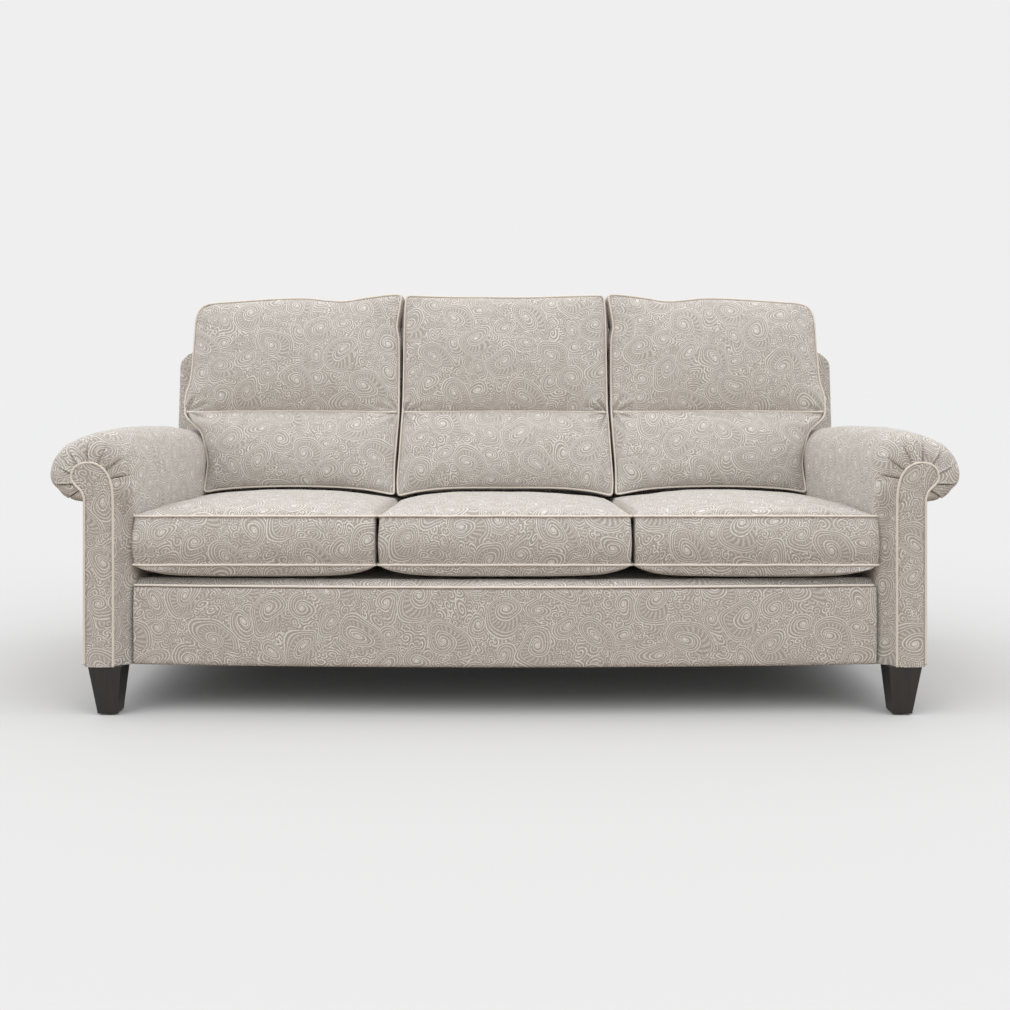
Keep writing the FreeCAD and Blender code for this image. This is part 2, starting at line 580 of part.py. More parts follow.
side, ends, bow_radius = border_line("0")
border_corners = [(f"-({side})", ends), (side, ends),
                  (side, "Layout.rail_y"), (f"-({side})", "Layout.rail_y")]
keep("front_border", outline_body("front_border", "XY_Plane", border_corners, {0: (bow_radius, 1)},
                                  "Layout.floor_z", "Sizes.border_height"))
lip_set = "2 * Sizes.piping_radius + Sizes.soft_gap"
side, ends, bow_radius = border_line(lip_set)
platform_rear = back_at("Sizes.back_pad / 2", "Layout.deck_rear")
plan_corners = [(f"-({side})", ends), (side, ends), (side, platform_rear), (f"-({side})", platform_rear)]
plan = outline_body("platform_plan", "XY_Plane", plan_corners, {0: (bow_radius, 1)}, "0",
                    "Layout.deck_z + Sizes.platform_thickness")
lip_front = "Layout.front_y - Layout.proud"
under_front = "Layout.rail_y"
profile_corners = [
    (lip_front, "Layout.border_top + Sizes.soft_gap"), (under_front, "Layout.border_top + Sizes.soft_gap"),
    (under_front, deck_at("Sizes.platform_thickness", under_front)),
    (platform_rear, deck_at("Sizes.platform_thickness", platform_rear)),
    (platform_rear, deck_at("0", platform_rear)), ("Layout.deck_y", "Layout.deck_z"),
    (lip_front, "Layout.deck_z - Sizes.lip_round"),
]
profile = outline_body("platform_profile", "YZ_Plane", profile_corners, {}, f"-({side})", f"2 * ({side})")
platform = doc.addObject("Part::Common", "seat_platform")
platform.Base = plan
platform.Tool = profile
keep("seat_platform", platform)
insulator_front = "Layout.rail_y + Sizes.rail_thickness"
insulator_rear = back_at("0", "Layout.deck_rear")
insulator_top = "Sizes.platform_thickness + Sizes.soft_gap"
insulator_low = f"{insulator_top} + Sizes.insulator_thickness"
insulator_corners = [(insulator_front, deck_at(insulator_low, insulator_front)),
                     (insulator_rear, deck_at(insulator_low, insulator_rear)),
                     (insulator_rear, deck_at(insulator_top, insulator_rear)),
                     (insulator_front, deck_at(insulator_top, insulator_front))]
keep("seat_insulator", outline_body("seat_insulator", "YZ_Plane", insulator_corners, {},
                                    f"-({side})", f"2 * ({side})"))


def dust_cover_corners():
    """The dust cover's outline, cut out round the legs: its right half, then its left half."""
    inner = "Layout.leg_in - Sizes.soft_gap"
    outer = "Layout.arm_out - Sizes.fabric"
    front_leg_rear = "Layout.front_leg_y + Sizes.leg_depth + Sizes.soft_gap"
    rear_leg_front = "Layout.rear_leg_y - Sizes.soft_gap"
    rear = back_at("Sizes.back_thickness - Sizes.fabric", "Layout.floor_z")
    right = [(inner, "Layout.rail_y"), (inner, front_leg_rear), (outer, front_leg_rear),
             (outer, rear_leg_front), (inner, rear_leg_front), (inner, rear)]
    return right + [(f"-({x})", y) for x, y in reversed(right)]


keep("dust_cover", outline_body("dust_cover", "XY_Plane", dust_cover_corners(), {},
                                "Layout.floor_z - Sizes.dust_cover_thickness",
                                "Sizes.dust_cover_thickness"))


def tube(path, start, direction):
    """Piping along a smooth path."""
    section = Part.Wire(Part.Circle(start, direction, sizes.piping_radius).toShape())
    return path.makePipeShell([section], True, False)


def front_piping_shape():
    """The piping on the top front edge of the border."""
    end_x = layout.arm_in - sizes.soft_gap - sizes.piping_radius
    end_y = layout.front_y + sizes.border_set + sizes.piping_radius
    z = layout.border_top + sizes.piping_radius + sizes.soft_gap
    first = Vector(-end_x, end_y, z)
    middle = Vector(0, end_y - sizes.border_bow, z)
    arc = Part.Arc(first, middle, Vector(end_x, end_y, z))
    return tube(Part.Wire(arc.toShape()), first, arc.tangent(arc.FirstParameter)[0])


soft_feature("front_border_piping", front_piping_shape())


# Back: cover, pad and outside panel share the outline of the back
def back_slab(half, low, top, chamfer, front, rear):
    """A raked slab with chamfered top corners, between two depths behind the inside back plane."""
    outline = [(-half, low), (half, low), (half, top - chamfer), (half - chamfer, top),
               (chamfer - half, top), (-half, top - chamfer), (-half, low)]
    points = [Vector(x, layout.back_foot + z * layout.lean + front, z) for x, z in outline]
    return Part.Face(Part.makePolygon(points)).extrude(Vector(0, rear - front, 0))


panel_front = sizes.back_thickness - sizes.fabric
cover_half = layout.back_half - sizes.fabric - sizes.soft_gap
inner_half = cover_half - sizes.fabric
cover_slab = back_slab(cover_half, layout.back_low, sizes.back_height, sizes.back_chamfer, 0, panel_front)
cover_room = back_slab(inner_half, layout.back_low - sizes.fabric, sizes.back_height - sizes.fabric,
                       sizes.back_chamfer, sizes.fabric, panel_front + sizes.fabric)
pad_front = sizes.fabric + sizes.soft_gap
back_pad = back_slab(inner_half - sizes.soft_gap, layout.back_low,
                     sizes.back_height - sizes.fabric - sizes.soft_gap,
                     sizes.back_chamfer, pad_front, pad_front + sizes.back_pad)
# The arm rails reach the back posts through a notch on each side
notch_x = layout.rail_x - sizes.soft_gap
notch = Part.makeBox(layout.roll_out, layout.depth_all, layout.arm_rail_top + sizes.soft_gap,
                     Vector(notch_x, layout.front_y, 0))
notches = [notch, notch.mirror(Vector(), Vector(1, 0, 0))]
soft_feature("back_cover", cover_slab.cut([cover_room, *notches]))
soft_feature("inside_back_pad", back_pad.cut(notches))
soft_feature("outside_back_panel", back_slab(layout.back_half, layout.floor_z, sizes.back_height,
                                             sizes.back_chamfer, panel_front, sizes.back_thickness))


# Arm: the outline of its roll, which the dome at its front rounds off to the facing's head
# LEAST_EDGE keeps a straight edge between two arcs, and MARGIN is how far a cutting shape reaches
# past what it cuts
LEAST_EDGE = 1
MARGIN = 1


def roll_sizes(inset):
    """Inner, outer, low and top edge and the three radii of the roll, moved inward by inset."""
    return (layout.arm_in + inset, layout.roll_out - inset, layout.roll_low + inset,
            sizes.arm_height - inset, sizes.roll_inner_radius - inset,
            sizes.roll_outer_radius - inset, sizes.roll_under_radius - inset)


def head_sizes(grow):
    """The same seven sizes round the head of the facing, moved outward by grow but not down."""
    head = sizes.facing_head_radius + grow
    neck = sizes.facing_neck_radius + grow
    low = layout.facing_top - 2 * sizes.facing_head_radius
    return (layout.facing_in - grow, layout.head_x + head, low, layout.facing_top + grow,
            neck - LEAST_EDGE, head, head - LEAST_EDGE)


def rounded_ring(inner, outer, low, top, inner_r, outer_r, under_r, y):
    """A closed wire of three lines and three quarter arcs in a plane across y."""
    inner_cut = inner_r * (1 - math.sqrt(0.5))
    outer_cut = outer_r * (1 - math.sqrt(0.5))

    def point(x, z):
        return Vector(x, y, z)

    under_z = top - outer_r
    under_x = outer - under_r
    edges = [
        Part.LineSegment(point(inner, low), point(inner, top - inner_r)),
        Part.Arc(point(inner, top - inner_r), point(inner + inner_cut, top - inner_cut),
                 point(inner + inner_r, top)),
        Part.LineSegment(point(inner + inner_r, top), point(outer - outer_r, top)),
        Part.Arc(point(outer - outer_r, top), point(outer - outer_cut, top - outer_cut),
                 point(outer, under_z)),
        quarter(point(outer, under_z), point(under_x, low), point(outer, low)),
        Part.LineSegment(point(under_x, low), point(inner, low)),
    ]
    return Part.Wire([edge.toShape() for edge in edges])


def quarter(first, last, corner):
    """An arc that rounds a corner from first to last, flatter where the two legs differ."""
    chord_middle = (first + last) * 0.5
    bulge = (corner - chord_middle) * (math.sqrt(2) - 1)
    return Part.Arc(first, chord_middle + bulge, last)


def leaning_cutter(depth):
    """Everything behind the raked plane at a depth behind the inside back plane."""
    far = layout.depth_all
    tall = sizes.back_height + sizes.leg_height
    wide = 2 * layout.roll_out
    points = [Vector(-wide, layout.back_foot + depth, 0), Vector(-wide, layout.back_foot + depth + far, 0),
              Vector(-wide, layout.back_foot + depth + tall * layout.lean + far, tall),
              Vector(-wide, layout.back_foot + depth + tall * layout.lean, tall),
              Vector(-wide, layout.back_foot + depth, 0)]
    return Part.Face(Part.makePolygon(points)).extrude(Vector(2 * wide, 0, 0))


def facing_room(grow, rear):
    """The space of the facing and its post, grown all round, from before the arm to a rear y."""
    def point(x, z):
        return Vector(x, layout.front_y - MARGIN, z)

    head = sizes.facing_head_radius + grow
    neck = sizes.facing_neck_radius + grow
    inner = layout.facing_in - grow
    outer = layout.arm_out + grow
    top = layout.facing_top + grow
    low = layout.floor_z - MARGIN
    neck_z = layout.facing_top - sizes.facing_neck_radius
    head_z = layout.facing_top - sizes.facing_head_radius
    neck_x = layout.head_x - neck
    reach = math.sqrt(head ** 2 - (outer - layout.head_x) ** 2)
    half = math.sqrt(0.5)
    edges = [
        Part.LineSegment(point(inner, low), point(outer, low)),
        Part.LineSegment(point(outer, low), point(outer, head_z - reach)),
        Part.Arc(point(outer, head_z - reach), point(layout.head_x + head, head_z),
                 point(layout.head_x, top)),
        Part.Arc(point(layout.head_x, top), point(layout.head_x - neck * half, neck_z + neck * half),
                 point(neck_x, neck_z)),
        Part.LineSegment(point(neck_x, neck_z), point(inner, low)),
    ]
    wire = Part.Wire([edge.toShape() for edge in edges])
    return Part.Face(wire).extrude(Vector(0, rear - layout.front_y + MARGIN, 0))


DOME_STEPS = 5


def arm_form(inset):
    """The soft outer shape of the right arm, moved inward by inset."""
    dome_front = layout.front_y + sizes.facing_thickness + sizes.soft_gap + inset
    dome_back = dome_front + sizes.roll_dome
    small = head_sizes(2 * sizes.piping_radius + sizes.dome_gap - inset)
    large = roll_sizes(inset)
    rings = []
    for step in range(DOME_STEPS + 1):
        angle = math.radians(90 * step / DOME_STEPS)
        mixed = [low + (high - low) * math.sin(angle) for low, high in zip(small, large)]
        rings.append(rounded_ring(*mixed, dome_front + sizes.roll_dome * (1 - math.cos(angle))))
    dome = Part.makeLoft(rings, True, True)
    rear = layout.back_foot + sizes.arm_height * layout.lean + sizes.back_thickness
    roll = Part.Face(rings[-1]).extrude(Vector(0, rear - dome_back, 0))
    body_front = layout.front_y + sizes.arm_front_set + inset
    body_low = layout.floor_z - sizes.fabric + inset
    body_top = layout.roll_low + sizes.roll_inner_radius
    body = Part.makeBox(sizes.arm_width - 2 * inset, rear - body_front, body_top - body_low,
                        Vector(layout.arm_in + inset, body_front, body_low))
    return roll.fuse([dome, body]).removeSplitter()


back_volume = back_slab(layout.back_half, 0, sizes.back_height, sizes.back_chamfer,
                        -sizes.soft_gap, sizes.back_thickness + MARGIN)
below = Part.makeBox(layout.roll_out, layout.depth_all, layout.floor_z, Vector(0, layout.front_y, 0))
facing_hole = facing_room(sizes.soft_gap, layout.post_back + sizes.soft_gap)


def arm_cover_shape():
    """The fabric of the roll, its pleated front, the inside arm and the arm's inner front."""
    outer = arm_form(0).cut(leaning_cutter(sizes.back_thickness))
    inner = arm_form(sizes.fabric).cut(leaning_cutter(sizes.back_thickness - sizes.fabric))
    open_side = Part.makeBox(2 * sizes.fabric, layout.depth_all, layout.roll_low - sizes.soft_gap,
                             Vector(layout.arm_out - sizes.fabric - sizes.soft_gap, layout.front_y, 0))
    under_deck = Part.makeBox(2 * sizes.fabric, layout.depth_all, layout.back_low,
                              Vector(layout.arm_in - sizes.soft_gap,
                                     layout.front_y + sizes.arm_front_set + sizes.fabric, 0))
    shell = outer.cut(inner)
    for tool in (facing_hole, back_volume, below, open_side, under_deck):
        shell = shell.cut(tool)
    return shell


def arm_pad_shape():
    """The pad on the inside arm and round the arm rail."""
    inset = sizes.fabric + sizes.soft_gap
    hollow_x = layout.arm_in + inset + sizes.arm_pad_thickness
    hollow = Part.makeBox(sizes.arm_width, layout.depth_all, layout.roll_low + sizes.arm_pad_thickness,
                          Vector(hollow_x, layout.front_y, 0))
    untucked = Part.makeBox(layout.roll_out, layout.depth_all, layout.tack_low,
                            Vector(0, layout.front_y, 0))
    rail_corner = Vector(layout.arm_out - sizes.arm_rail_width, layout.post_y, layout.arm_rail_low)
    rail_room = Part.makeBox(sizes.arm_rail_width, layout.depth_all, sizes.arm_rail_height, rail_corner)
    pad = arm_form(inset).cut(leaning_cutter(sizes.back_thickness - inset))
    for tool in (facing_hole, back_volume, hollow, untucked, rail_room):
        pad = pad.cut(tool)
    return pad


def facing_piping_shape():
    """The piping round the scroll facing, from floor edge to floor edge."""
    reach = sizes.piping_radius + sizes.soft_gap
    y = layout.front_y + sizes.facing_thickness / 2
    head = sizes.facing_head_radius + reach
    neck = sizes.facing_neck_radius + reach
    turn = 3 * sizes.piping_radius
    neck_z = layout.facing_top - sizes.facing_neck_radius
    head_z = layout.facing_top - sizes.facing_head_radius
    inner = layout.head_x - neck
    outer = layout.arm_out + reach
    half = math.sqrt(0.5)
    sideways = outer + turn - layout.head_x
    turn_z = head_z - math.sqrt((head + turn) ** 2 - sideways ** 2)
    share = head / (head + turn)

    def point(x, z):
        return Vector(x, y, z)

    leave = point(layout.head_x + sideways * share, head_z - (head_z - turn_z) * share)
    turn_centre = point(outer + turn, turn_z)
    inward = point(outer, turn_z) + leave - 2 * turn_centre
    bend_middle = turn_centre + inward.normalize() * turn
    foot = layout.floor_z
    edges = [
        Part.LineSegment(point(inner, foot), point(inner, neck_z)),
        Part.Arc(point(inner, neck_z), point(layout.head_x - neck * half, neck_z + neck * half),
                 point(layout.head_x, layout.facing_top + reach)),
        Part.Arc(point(layout.head_x, layout.facing_top + reach), point(layout.head_x + head, head_z),
                 leave),
        Part.Arc(leave, bend_middle, point(outer, turn_z)),
        Part.LineSegment(point(outer, turn_z), point(outer, foot)),
    ]
    return tube(Part.Wire([edge.toShape() for edge in edges]), point(inner, foot), Vector(0, 0, 1))


def both_arms(label, shape):
    """A soft piece of the right arm, and its mirror image."""
    soft_feature(label + "_right", shape)
    soft_feature(label + "_left", shape.mirror(Vector(), Vector(1, 0, 0)))


both_arms("arm_cover", arm_cover_shape())
both_arms("arm_pad", arm_pad_shape())
both_arms("arm_facing_piping", facing_piping_shape())

# Outside arm panels: they flare to the width of the back and follow its side to the rear
panel_y = "Layout.post_y + Sizes.soft_gap"
flare_y = back_at("-Sizes.soft_gap", "Layout.floor_z")
rear_y = back_at("Sizes.back_thickness", "Layout.roll_low")
panel_x = "Layout.arm_out + Sizes.soft_gap"
panel_corners = [
    (panel_x, panel_y), (f"{panel_x} + Sizes.fabric", panel_y), ("Layout.back_half", flare_y),
    ("Layout.back_half", rear_y), ("Layout.back_half - Sizes.fabric", rear_y),
    ("Layout.back_half - Sizes.fabric", flare_y),
]
arm_panel = outline_body("arm_panel_plan", "XY_Plane", panel_corners, {}, "Layout.floor_z",
                         "Layout.roll_low - Layout.floor_z - Sizes.soft_gap")
panel_rear = "Sizes.back_thickness - Sizes.fabric"
behind_panel = raked_block("behind_panel", ("Layout.arm_in", "Layout.roll_out"),
                           (panel_rear, f"{panel_rear} + Sizes.inside_depth"), ("0", "Sizes.arm_height"))
pair("outside_arm_panel", cut(arm_panel, behind_panel, "outside_arm_panel"))


# Seat cushions
def drawn_ring(half_x, half_y, corner, pull, z):
    """A rounded rectangle whose four sides pull in between its corners, all edges tangent."""
    centre_x = half_x - corner
    centre_y = half_y - corner
    front_radius = (centre_x ** 2 + pull ** 2 - 2 * corner * pull) / (2 * pull)
    side_radius = (centre_y ** 2 + pull ** 2 - 2 * corner * pull) / (2 * pull)
    front_centre = Vector(0, -(half_y - pull) - front_radius, z)
    side_centre = Vector(half_x - pull + side_radius, 0, z)
    corner_centre = Vector(centre_x, -centre_y, z)
    from_front = corner_centre + (front_centre - corner_centre).normalize() * corner
    to_side = corner_centre + (side_centre - corner_centre).normalize() * corner
    middle = corner_centre + (from_front + to_side - 2 * corner_centre).normalize() * corner

    def flip(point, x_sign, y_sign):
        return Vector(point.x * x_sign, point.y * y_sign, z)

    edges = []
    for x_sign, y_sign in ((1, 1), (1, -1), (-1, -1), (-1, 1)):
        first, last = (from_front, to_side) if x_sign * y_sign > 0 else (to_side, from_front)
        edges.append(Part.Arc(flip(first, x_sign, y_sign), flip(middle, x_sign, y_sign),
                              flip(last, x_sign, y_sign)).toShape())
        on_side = x_sign * y_sign > 0
        after = flip(last, x_sign, -y_sign) if on_side else flip(last, -x_sign, y_sign)
        side_middle = Vector(x_sign * (half_x - pull), 0, z)
        front_middle = Vector(0, -y_sign * (half_y - pull), z)
        between = side_middle if on_side else front_middle
        edges.append(Part.Arc(flip(last, x_sign, y_sign), between, after).toShape())
    return Part.Wire(edges)


SEAM_OUT = sizes.piping_radius * 2 + sizes.soft_gap
SEAT_HALF_X = (sizes.seat_width - sizes.cushion_gap) / 2 - SEAM_OUT
SEAT_HALF_Y = layout.seat_cushion_depth / 2 - SEAM_OUT
# Each crown ring: how far it lies inside the seam, and its share of the crown's height
UNDER_RINGS = [(0, 0), (14, 0.6), (46, 1)]
CROWN_RINGS = [(0, 0), (16, 0.5), (55, 0.85), (120, 1)]
# A corner closes by this share of the inset, down to a least share of its radius
CORNER_CLOSING = 0.25
LEAST_CORNER = 0.35


def seat_ring(shrink, z):
    """A ring of a seat cushion, inside its seam."""
    corner = max(sizes.seat_corner - CORNER_CLOSING * shrink, LEAST_CORNER * sizes.seat_corner)
    return drawn_ring(SEAT_HALF_X - shrink, SEAT_HALF_Y - shrink, corner, sizes.draw_in, z)


def seat_form(inset):
    """A seat cushion about its middle: under crown, drawn-in boxing and top crown."""
    low_seam = sizes.seat_under_crown
    high_seam = low_seam + sizes.seat_boxing
    under = [seat_ring(shrink + inset, low_seam - share * (low_seam - inset))
             for shrink, share in UNDER_RINGS]
    boxing = [seat_ring(inset, low_seam), seat_ring(inset + sizes.draw_in, (low_seam + high_seam) / 2),
              seat_ring(inset, high_seam)]
    crown = [seat_ring(shrink + inset, high_seam + share * (sizes.seat_crown - inset))
             for shrink, share in CROWN_RINGS]
    parts = [Part.makeLoft(rings, True, False) for rings in (under, boxing, crown)]
    return parts[0].fuse(parts[1:]).removeSplitter()


def seat_piping_shape():
    """The piping round both seams of a seat cushion."""
    reach = sizes.piping_radius + sizes.soft_gap
    tubes = []
    for z in (sizes.seat_under_crown, sizes.seat_under_crown + sizes.seat_boxing):
        path = drawn_ring(SEAT_HALF_X + reach, SEAT_HALF_Y + reach, sizes.seat_corner + reach,
                          sizes.draw_in, z)
        first = path.Edges[0]
        start = first.valueAt(first.FirstParameter)
        tubes.append(tube(path, start, first.tangentAt(first.FirstParameter)))
    return Part.makeCompound(tubes)


# Back cushions, in a frame whose y is depth before the back and whose z runs up the rake
WAIST_V = sizes.back_cushion_floor + sizes.back_cushion_waist
TOP_V = WAIST_V + sizes.back_cushion_head
MIDDLE_EDGE = sizes.back_cushion_width / 2
# The bottom edge turns over the seat crown on a large radius, the panels at the waist on a small one
ARCH_RADIUS = 3 * sizes.back_cushion_width
WAIST_RADIUS = sizes.back_cushion_corner / 4
# Each crown ring: how far it lies inside the seam, and its share of the crown's height
PANEL_RINGS = [(0, 0), (12, 0.5), (30, 0.82), (55, 1)]


def rounded_polygon(corners, place):
    """A closed wire of lines and corner arcs; corners are (x, z, radius), place gives the point."""
    count = len(corners)
    starts, middles, ends = [], [], []
    for index, (x, z, radius) in enumerate(corners):
        here = Vector(x, z, 0)
        before = (Vector(*corners[index - 1][:2], 0) - here).normalize()
        after = (Vector(*corners[(index + 1) % count][:2], 0) - here).normalize()
        half_angle = before.getAngle(after) / 2
        reach = radius / math.tan(half_angle)
        centre = here + (before + after).normalize() * (radius / math.sin(half_angle))
        starts.append(here + before * reach)
        ends.append(here + after * reach)
        middles.append(centre + (here - centre).normalize() * radius)
    edges = []
    for index in range(count):
        arc = Part.Arc(place(starts[index]), place(middles[index]), place(ends[index]))
        line = Part.LineSegment(place(ends[index]), place(starts[(index + 1) % count]))
        edges.extend([arc.toShape(), line.toShape()])
    return Part.Wire(edges)


def inset_polygon(corners, inset):
    """The same corners with every edge moved inward; corners run anticlockwise."""
    count = len(corners)
    moved = []
    for index, (x, z, radius) in enumerate(corners):
        x0, z0 = corners[index - 1][:2]
        x2, z2 = corners[(index + 1) % count][:2]
        first = Vector(x - x0, z - z0, 0).normalize()
        second = Vector(x2 - x, z2 - z, 0).normalize()
        cross = first.x * second.y - first.y * second.x
        normal_a = Vector(-first.y, first.x, 0)
        normal_b = Vector(-second.y, second.x, 0)
        shift = (normal_a + normal_b) * (inset / (1 + normal_a.dot(normal_b)))
        grown = radius - inset if cross > 0 else radius + inset
        moved.append((x + shift.x, z + shift.y, max(grown, LEAST_CORNER * radius)))
    return moved


def back_outlines(inner, outer_low, outer_waist, outer_top):
    """The outline of a back cushion, of its head panel and of its lower panel."""
    corner = sizes.back_cushion_corner
    low = sizes.back_cushion_floor
    shoulder = WAIST_V - sizes.shoulder_rise
    middle = (inner + outer_low) / 2
    bottom = [(inner, low, corner), (middle, low + sizes.back_cushion_arch, ARCH_RADIUS),
              (outer_low, low, corner), (outer_low, shoulder, corner)]
    top = [(outer_top, TOP_V, corner), (inner, TOP_V, corner)]
    waist = (outer_waist, WAIST_V, 2 * WAIST_RADIUS)
    head_panel = [(inner, WAIST_V, WAIST_RADIUS), (outer_waist, WAIST_V, WAIST_RADIUS), *top]
    low_panel = [*bottom, (outer_waist, WAIST_V, WAIST_RADIUS), (inner, WAIST_V, WAIST_RADIUS)]
    return [*bottom, waist, *top], head_panel, low_panel


def middle_outlines():
    """The outlines of the middle back cushion, which has no shoulder."""
    corner = sizes.back_cushion_corner
    half = MIDDLE_EDGE - SEAM_OUT
    low = sizes.back_cushion_floor
    bottom = [(-half, low, corner), (0, low + sizes.back_cushion_arch, ARCH_RADIUS), (half, low, corner)]
    top = [(half, TOP_V, corner), (-half, TOP_V, corner)]
    head_panel = [(-half, WAIST_V, WAIST_RADIUS), (half, WAIST_V, WAIST_RADIUS), *top]
    low_panel = [*bottom, (half, WAIST_V, WAIST_RADIUS), (-half, WAIST_V, WAIST_RADIUS)]
    return [*bottom, *top], head_panel, low_panel


def side_outlines():
    """The outlines of the right back cushion, whose shoulder reaches over the arm."""
    return back_outlines(MIDDLE_EDGE + sizes.cushion_gap + SEAM_OUT,
                         layout.arm_in - sizes.cushion_gap - SEAM_OUT,
                         layout.arm_in + sizes.shoulder_out - SEAM_OUT,
                         layout.arm_in + sizes.shoulder_top_out - SEAM_OUT)


def front_depth(v):
    """How far the front seam stands before the back, at a point up the rake."""
    share = (v - sizes.back_cushion_floor) / (TOP_V - sizes.back_cushion_floor)
    return sizes.back_cushion_low + share * (sizes.back_cushion_high - sizes.back_cushion_low)


def before_seam(ahead):
    """Places outline points ahead of the front seam plane."""
    return lambda point: Vector(point.x, -front_depth(point.y) - ahead, point.y)


def before_back(depth):
    """Places outline points at a depth before the inside back."""
    return lambda point: Vector(point.x, -depth, point.y)


def between_seams(rear_depth):
    """Places outline points midway between the two seams."""
    return lambda point: Vector(point.x, -(front_depth(point.y) + rear_depth) / 2, point.y)


def back_form(outlines, inset):
    """A back cushion: rear crown, drawn-in boxing, and a crown on each of its two panels."""
    outline, head_panel, low_panel = outlines
    rear_seam = sizes.soft_gap + sizes.back_cushion_hollow
    flat = inset_polygon(outline, inset + sizes.back_cushion_round)
    seam = inset_polygon(outline, inset)
    drawn = inset_polygon(outline, inset + sizes.draw_in)
    rear = [rounded_polygon(flat, before_back(sizes.soft_gap + inset)),
            rounded_polygon(seam, before_back(rear_seam))]
    boxing = [rear[1], rounded_polygon(drawn, between_seams(rear_seam)),
              rounded_polygon(seam, before_seam(-inset))]
    solids = [Part.makeLoft(rear, True, True), Part.makeLoft(boxing, True, False)]
    for panel in (head_panel, low_panel):
        rings = [rounded_polygon(inset_polygon(panel, inset + shrink),
                                 before_seam(share * sizes.back_cushion_crown - inset))
                 for shrink, share in PANEL_RINGS]
        solids.append(Part.makeLoft(rings, True, False))
    return solids[0].fuse(solids[1:]).removeSplitter()


def back_piping_shape(outlines):
    """The piping round the front of a back cushion and along its waist seam."""
    reach = sizes.piping_radius + sizes.soft_gap
    slope = (sizes.back_cushion_low - sizes.back_cushion_high) / (TOP_V - sizes.back_cushion_floor)
    stretch = math.sqrt(1 + slope ** 2)
    in_plane = [(x, z * stretch, radius) for x, z, radius in outlines[0]]

    def on_seam(point):
        return before_seam(0)(Vector(point.x, point.y / stretch, 0))

    path = rounded_polygon(inset_polygon(in_plane, -reach), on_seam)
    line = path.Edges[1]
    around = Part.Wire(path.Edges[1:] + path.Edges[:1])
    edge_tube = tube(around, line.valueAt(line.FirstParameter), line.tangentAt(line.FirstParameter))
    waist = sorted(corner[0] for corner in outlines[1] if corner[1] == WAIST_V)
    ahead = before_seam(2 * sizes.piping_radius)
    first = ahead(Vector(waist[0] + reach, WAIST_V, 0))
    last = ahead(Vector(waist[1] - reach, WAIST_V, 0))
    waist_tube = tube(Part.Wire(Part.LineSegment(first, last).toShape()), first, last - first)
    return Part.makeCompound([edge_tube, waist_tube])


def cushion(label, form, piping, base, tilt):
    """A cushion's cover, its filling and its piping."""
    cover = form(0).cut(form(sizes.fabric))
    soft_feature(f"{label}_cover", cover, base, tilt)
    soft_feature(f"{label}_fill", form(sizes.fabric + sizes.fill_gap), base, tilt)
    soft_feature(f"{label}_piping", piping, base, tilt)


seat_front = layout.front_y + sizes.seat_cushion_set
seat_middle = layout.seat_cushion_depth / 2
tilt_angle = math.radians(sizes.seat_tilt)
seat_y = seat_front + seat_middle
seat_z = layout.deck_z - (seat_y - layout.deck_y) * layout.drop + sizes.soft_gap / math.cos(tilt_angle)
for place, name in ((-1, "left"), (0, "centre"), (1, "right")):
    cushion(f"seat_cushion_{name}", seat_form, seat_piping_shape(),
            Vector(place * sizes.seat_width, seat_y, seat_z), -sizes.seat_tilt)
back_base = Vector(0, layout.back_foot, 0)


def mirrored_outline(outline):
    """A left-hand outline, still anticlockwise."""
    return [(-x, z, radius) for x, z, radius in reversed(outline)]


left_outlines = [mirrored_outline(outline) for outline in side_outlines()]
for name, outlines in (("left", left_outlines), ("centre", middle_outlines()), ("right", side_outlines())):
    cushion(f"back_cushion_{name}", lambda inset, shape=outlines: back_form(shape, inset),
            back_piping_shape(outlines), back_base, -sizes.back_rake)

# Every object has to be sound before anything is written
doc.recompute()
for item in doc.Objects:
    if "Invalid" in item.State or "Error" in item.State:
        raise RuntimeError(f"{item.Label} did not recompute: {item.State}")
for label, item in nodes.items():
    if item.Shape.isNull() or not item.Shape.isValid():
        raise RuntimeError(f"{label} has no valid shape")

os.makedirs("parts", exist_ok=True)
for label, item in nodes.items():
    item.Shape.exportStep(f"parts/{label}.step")
    print(label, len(item.Shape.Solids), "solids", round(item.Shape.Volume / 1000), "cm3")
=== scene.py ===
"""High back sofa for three: scroll arms, loose piped cushions, a woven scroll fabric, dark wooden legs.

Every length is in millimetres until a mesh is made.
"""
import math

import bmesh
import bpy
import numpy as np
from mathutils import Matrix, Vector, noise


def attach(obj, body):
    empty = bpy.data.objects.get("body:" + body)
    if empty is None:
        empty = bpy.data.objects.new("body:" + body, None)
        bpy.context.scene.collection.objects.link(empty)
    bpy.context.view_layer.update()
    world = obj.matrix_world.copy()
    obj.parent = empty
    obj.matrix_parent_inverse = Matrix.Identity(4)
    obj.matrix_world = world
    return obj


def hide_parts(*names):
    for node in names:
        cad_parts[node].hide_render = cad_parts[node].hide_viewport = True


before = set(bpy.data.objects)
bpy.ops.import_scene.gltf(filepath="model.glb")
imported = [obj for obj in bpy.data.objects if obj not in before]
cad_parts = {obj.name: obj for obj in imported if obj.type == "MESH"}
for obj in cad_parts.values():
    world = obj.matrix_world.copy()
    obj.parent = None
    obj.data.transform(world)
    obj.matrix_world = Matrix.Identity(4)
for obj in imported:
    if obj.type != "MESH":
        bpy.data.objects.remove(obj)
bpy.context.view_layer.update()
MM = 0.001
TURN = 2 * math.pi
CLOTH_MAP = "cloth"

# Places of the upholstery, as in the part
FRONT_Y, FLOOR_EDGE = -450.8, 113.0
ARM_IN, ARM_OUT = 873.0, 980.0
BACK_HALF, BACK_FOOT, BACK_THICK = 1000.0, 251.8, 115.0
RAKE, SEAT_TILT = math.radians(6.0), math.radians(2.5)

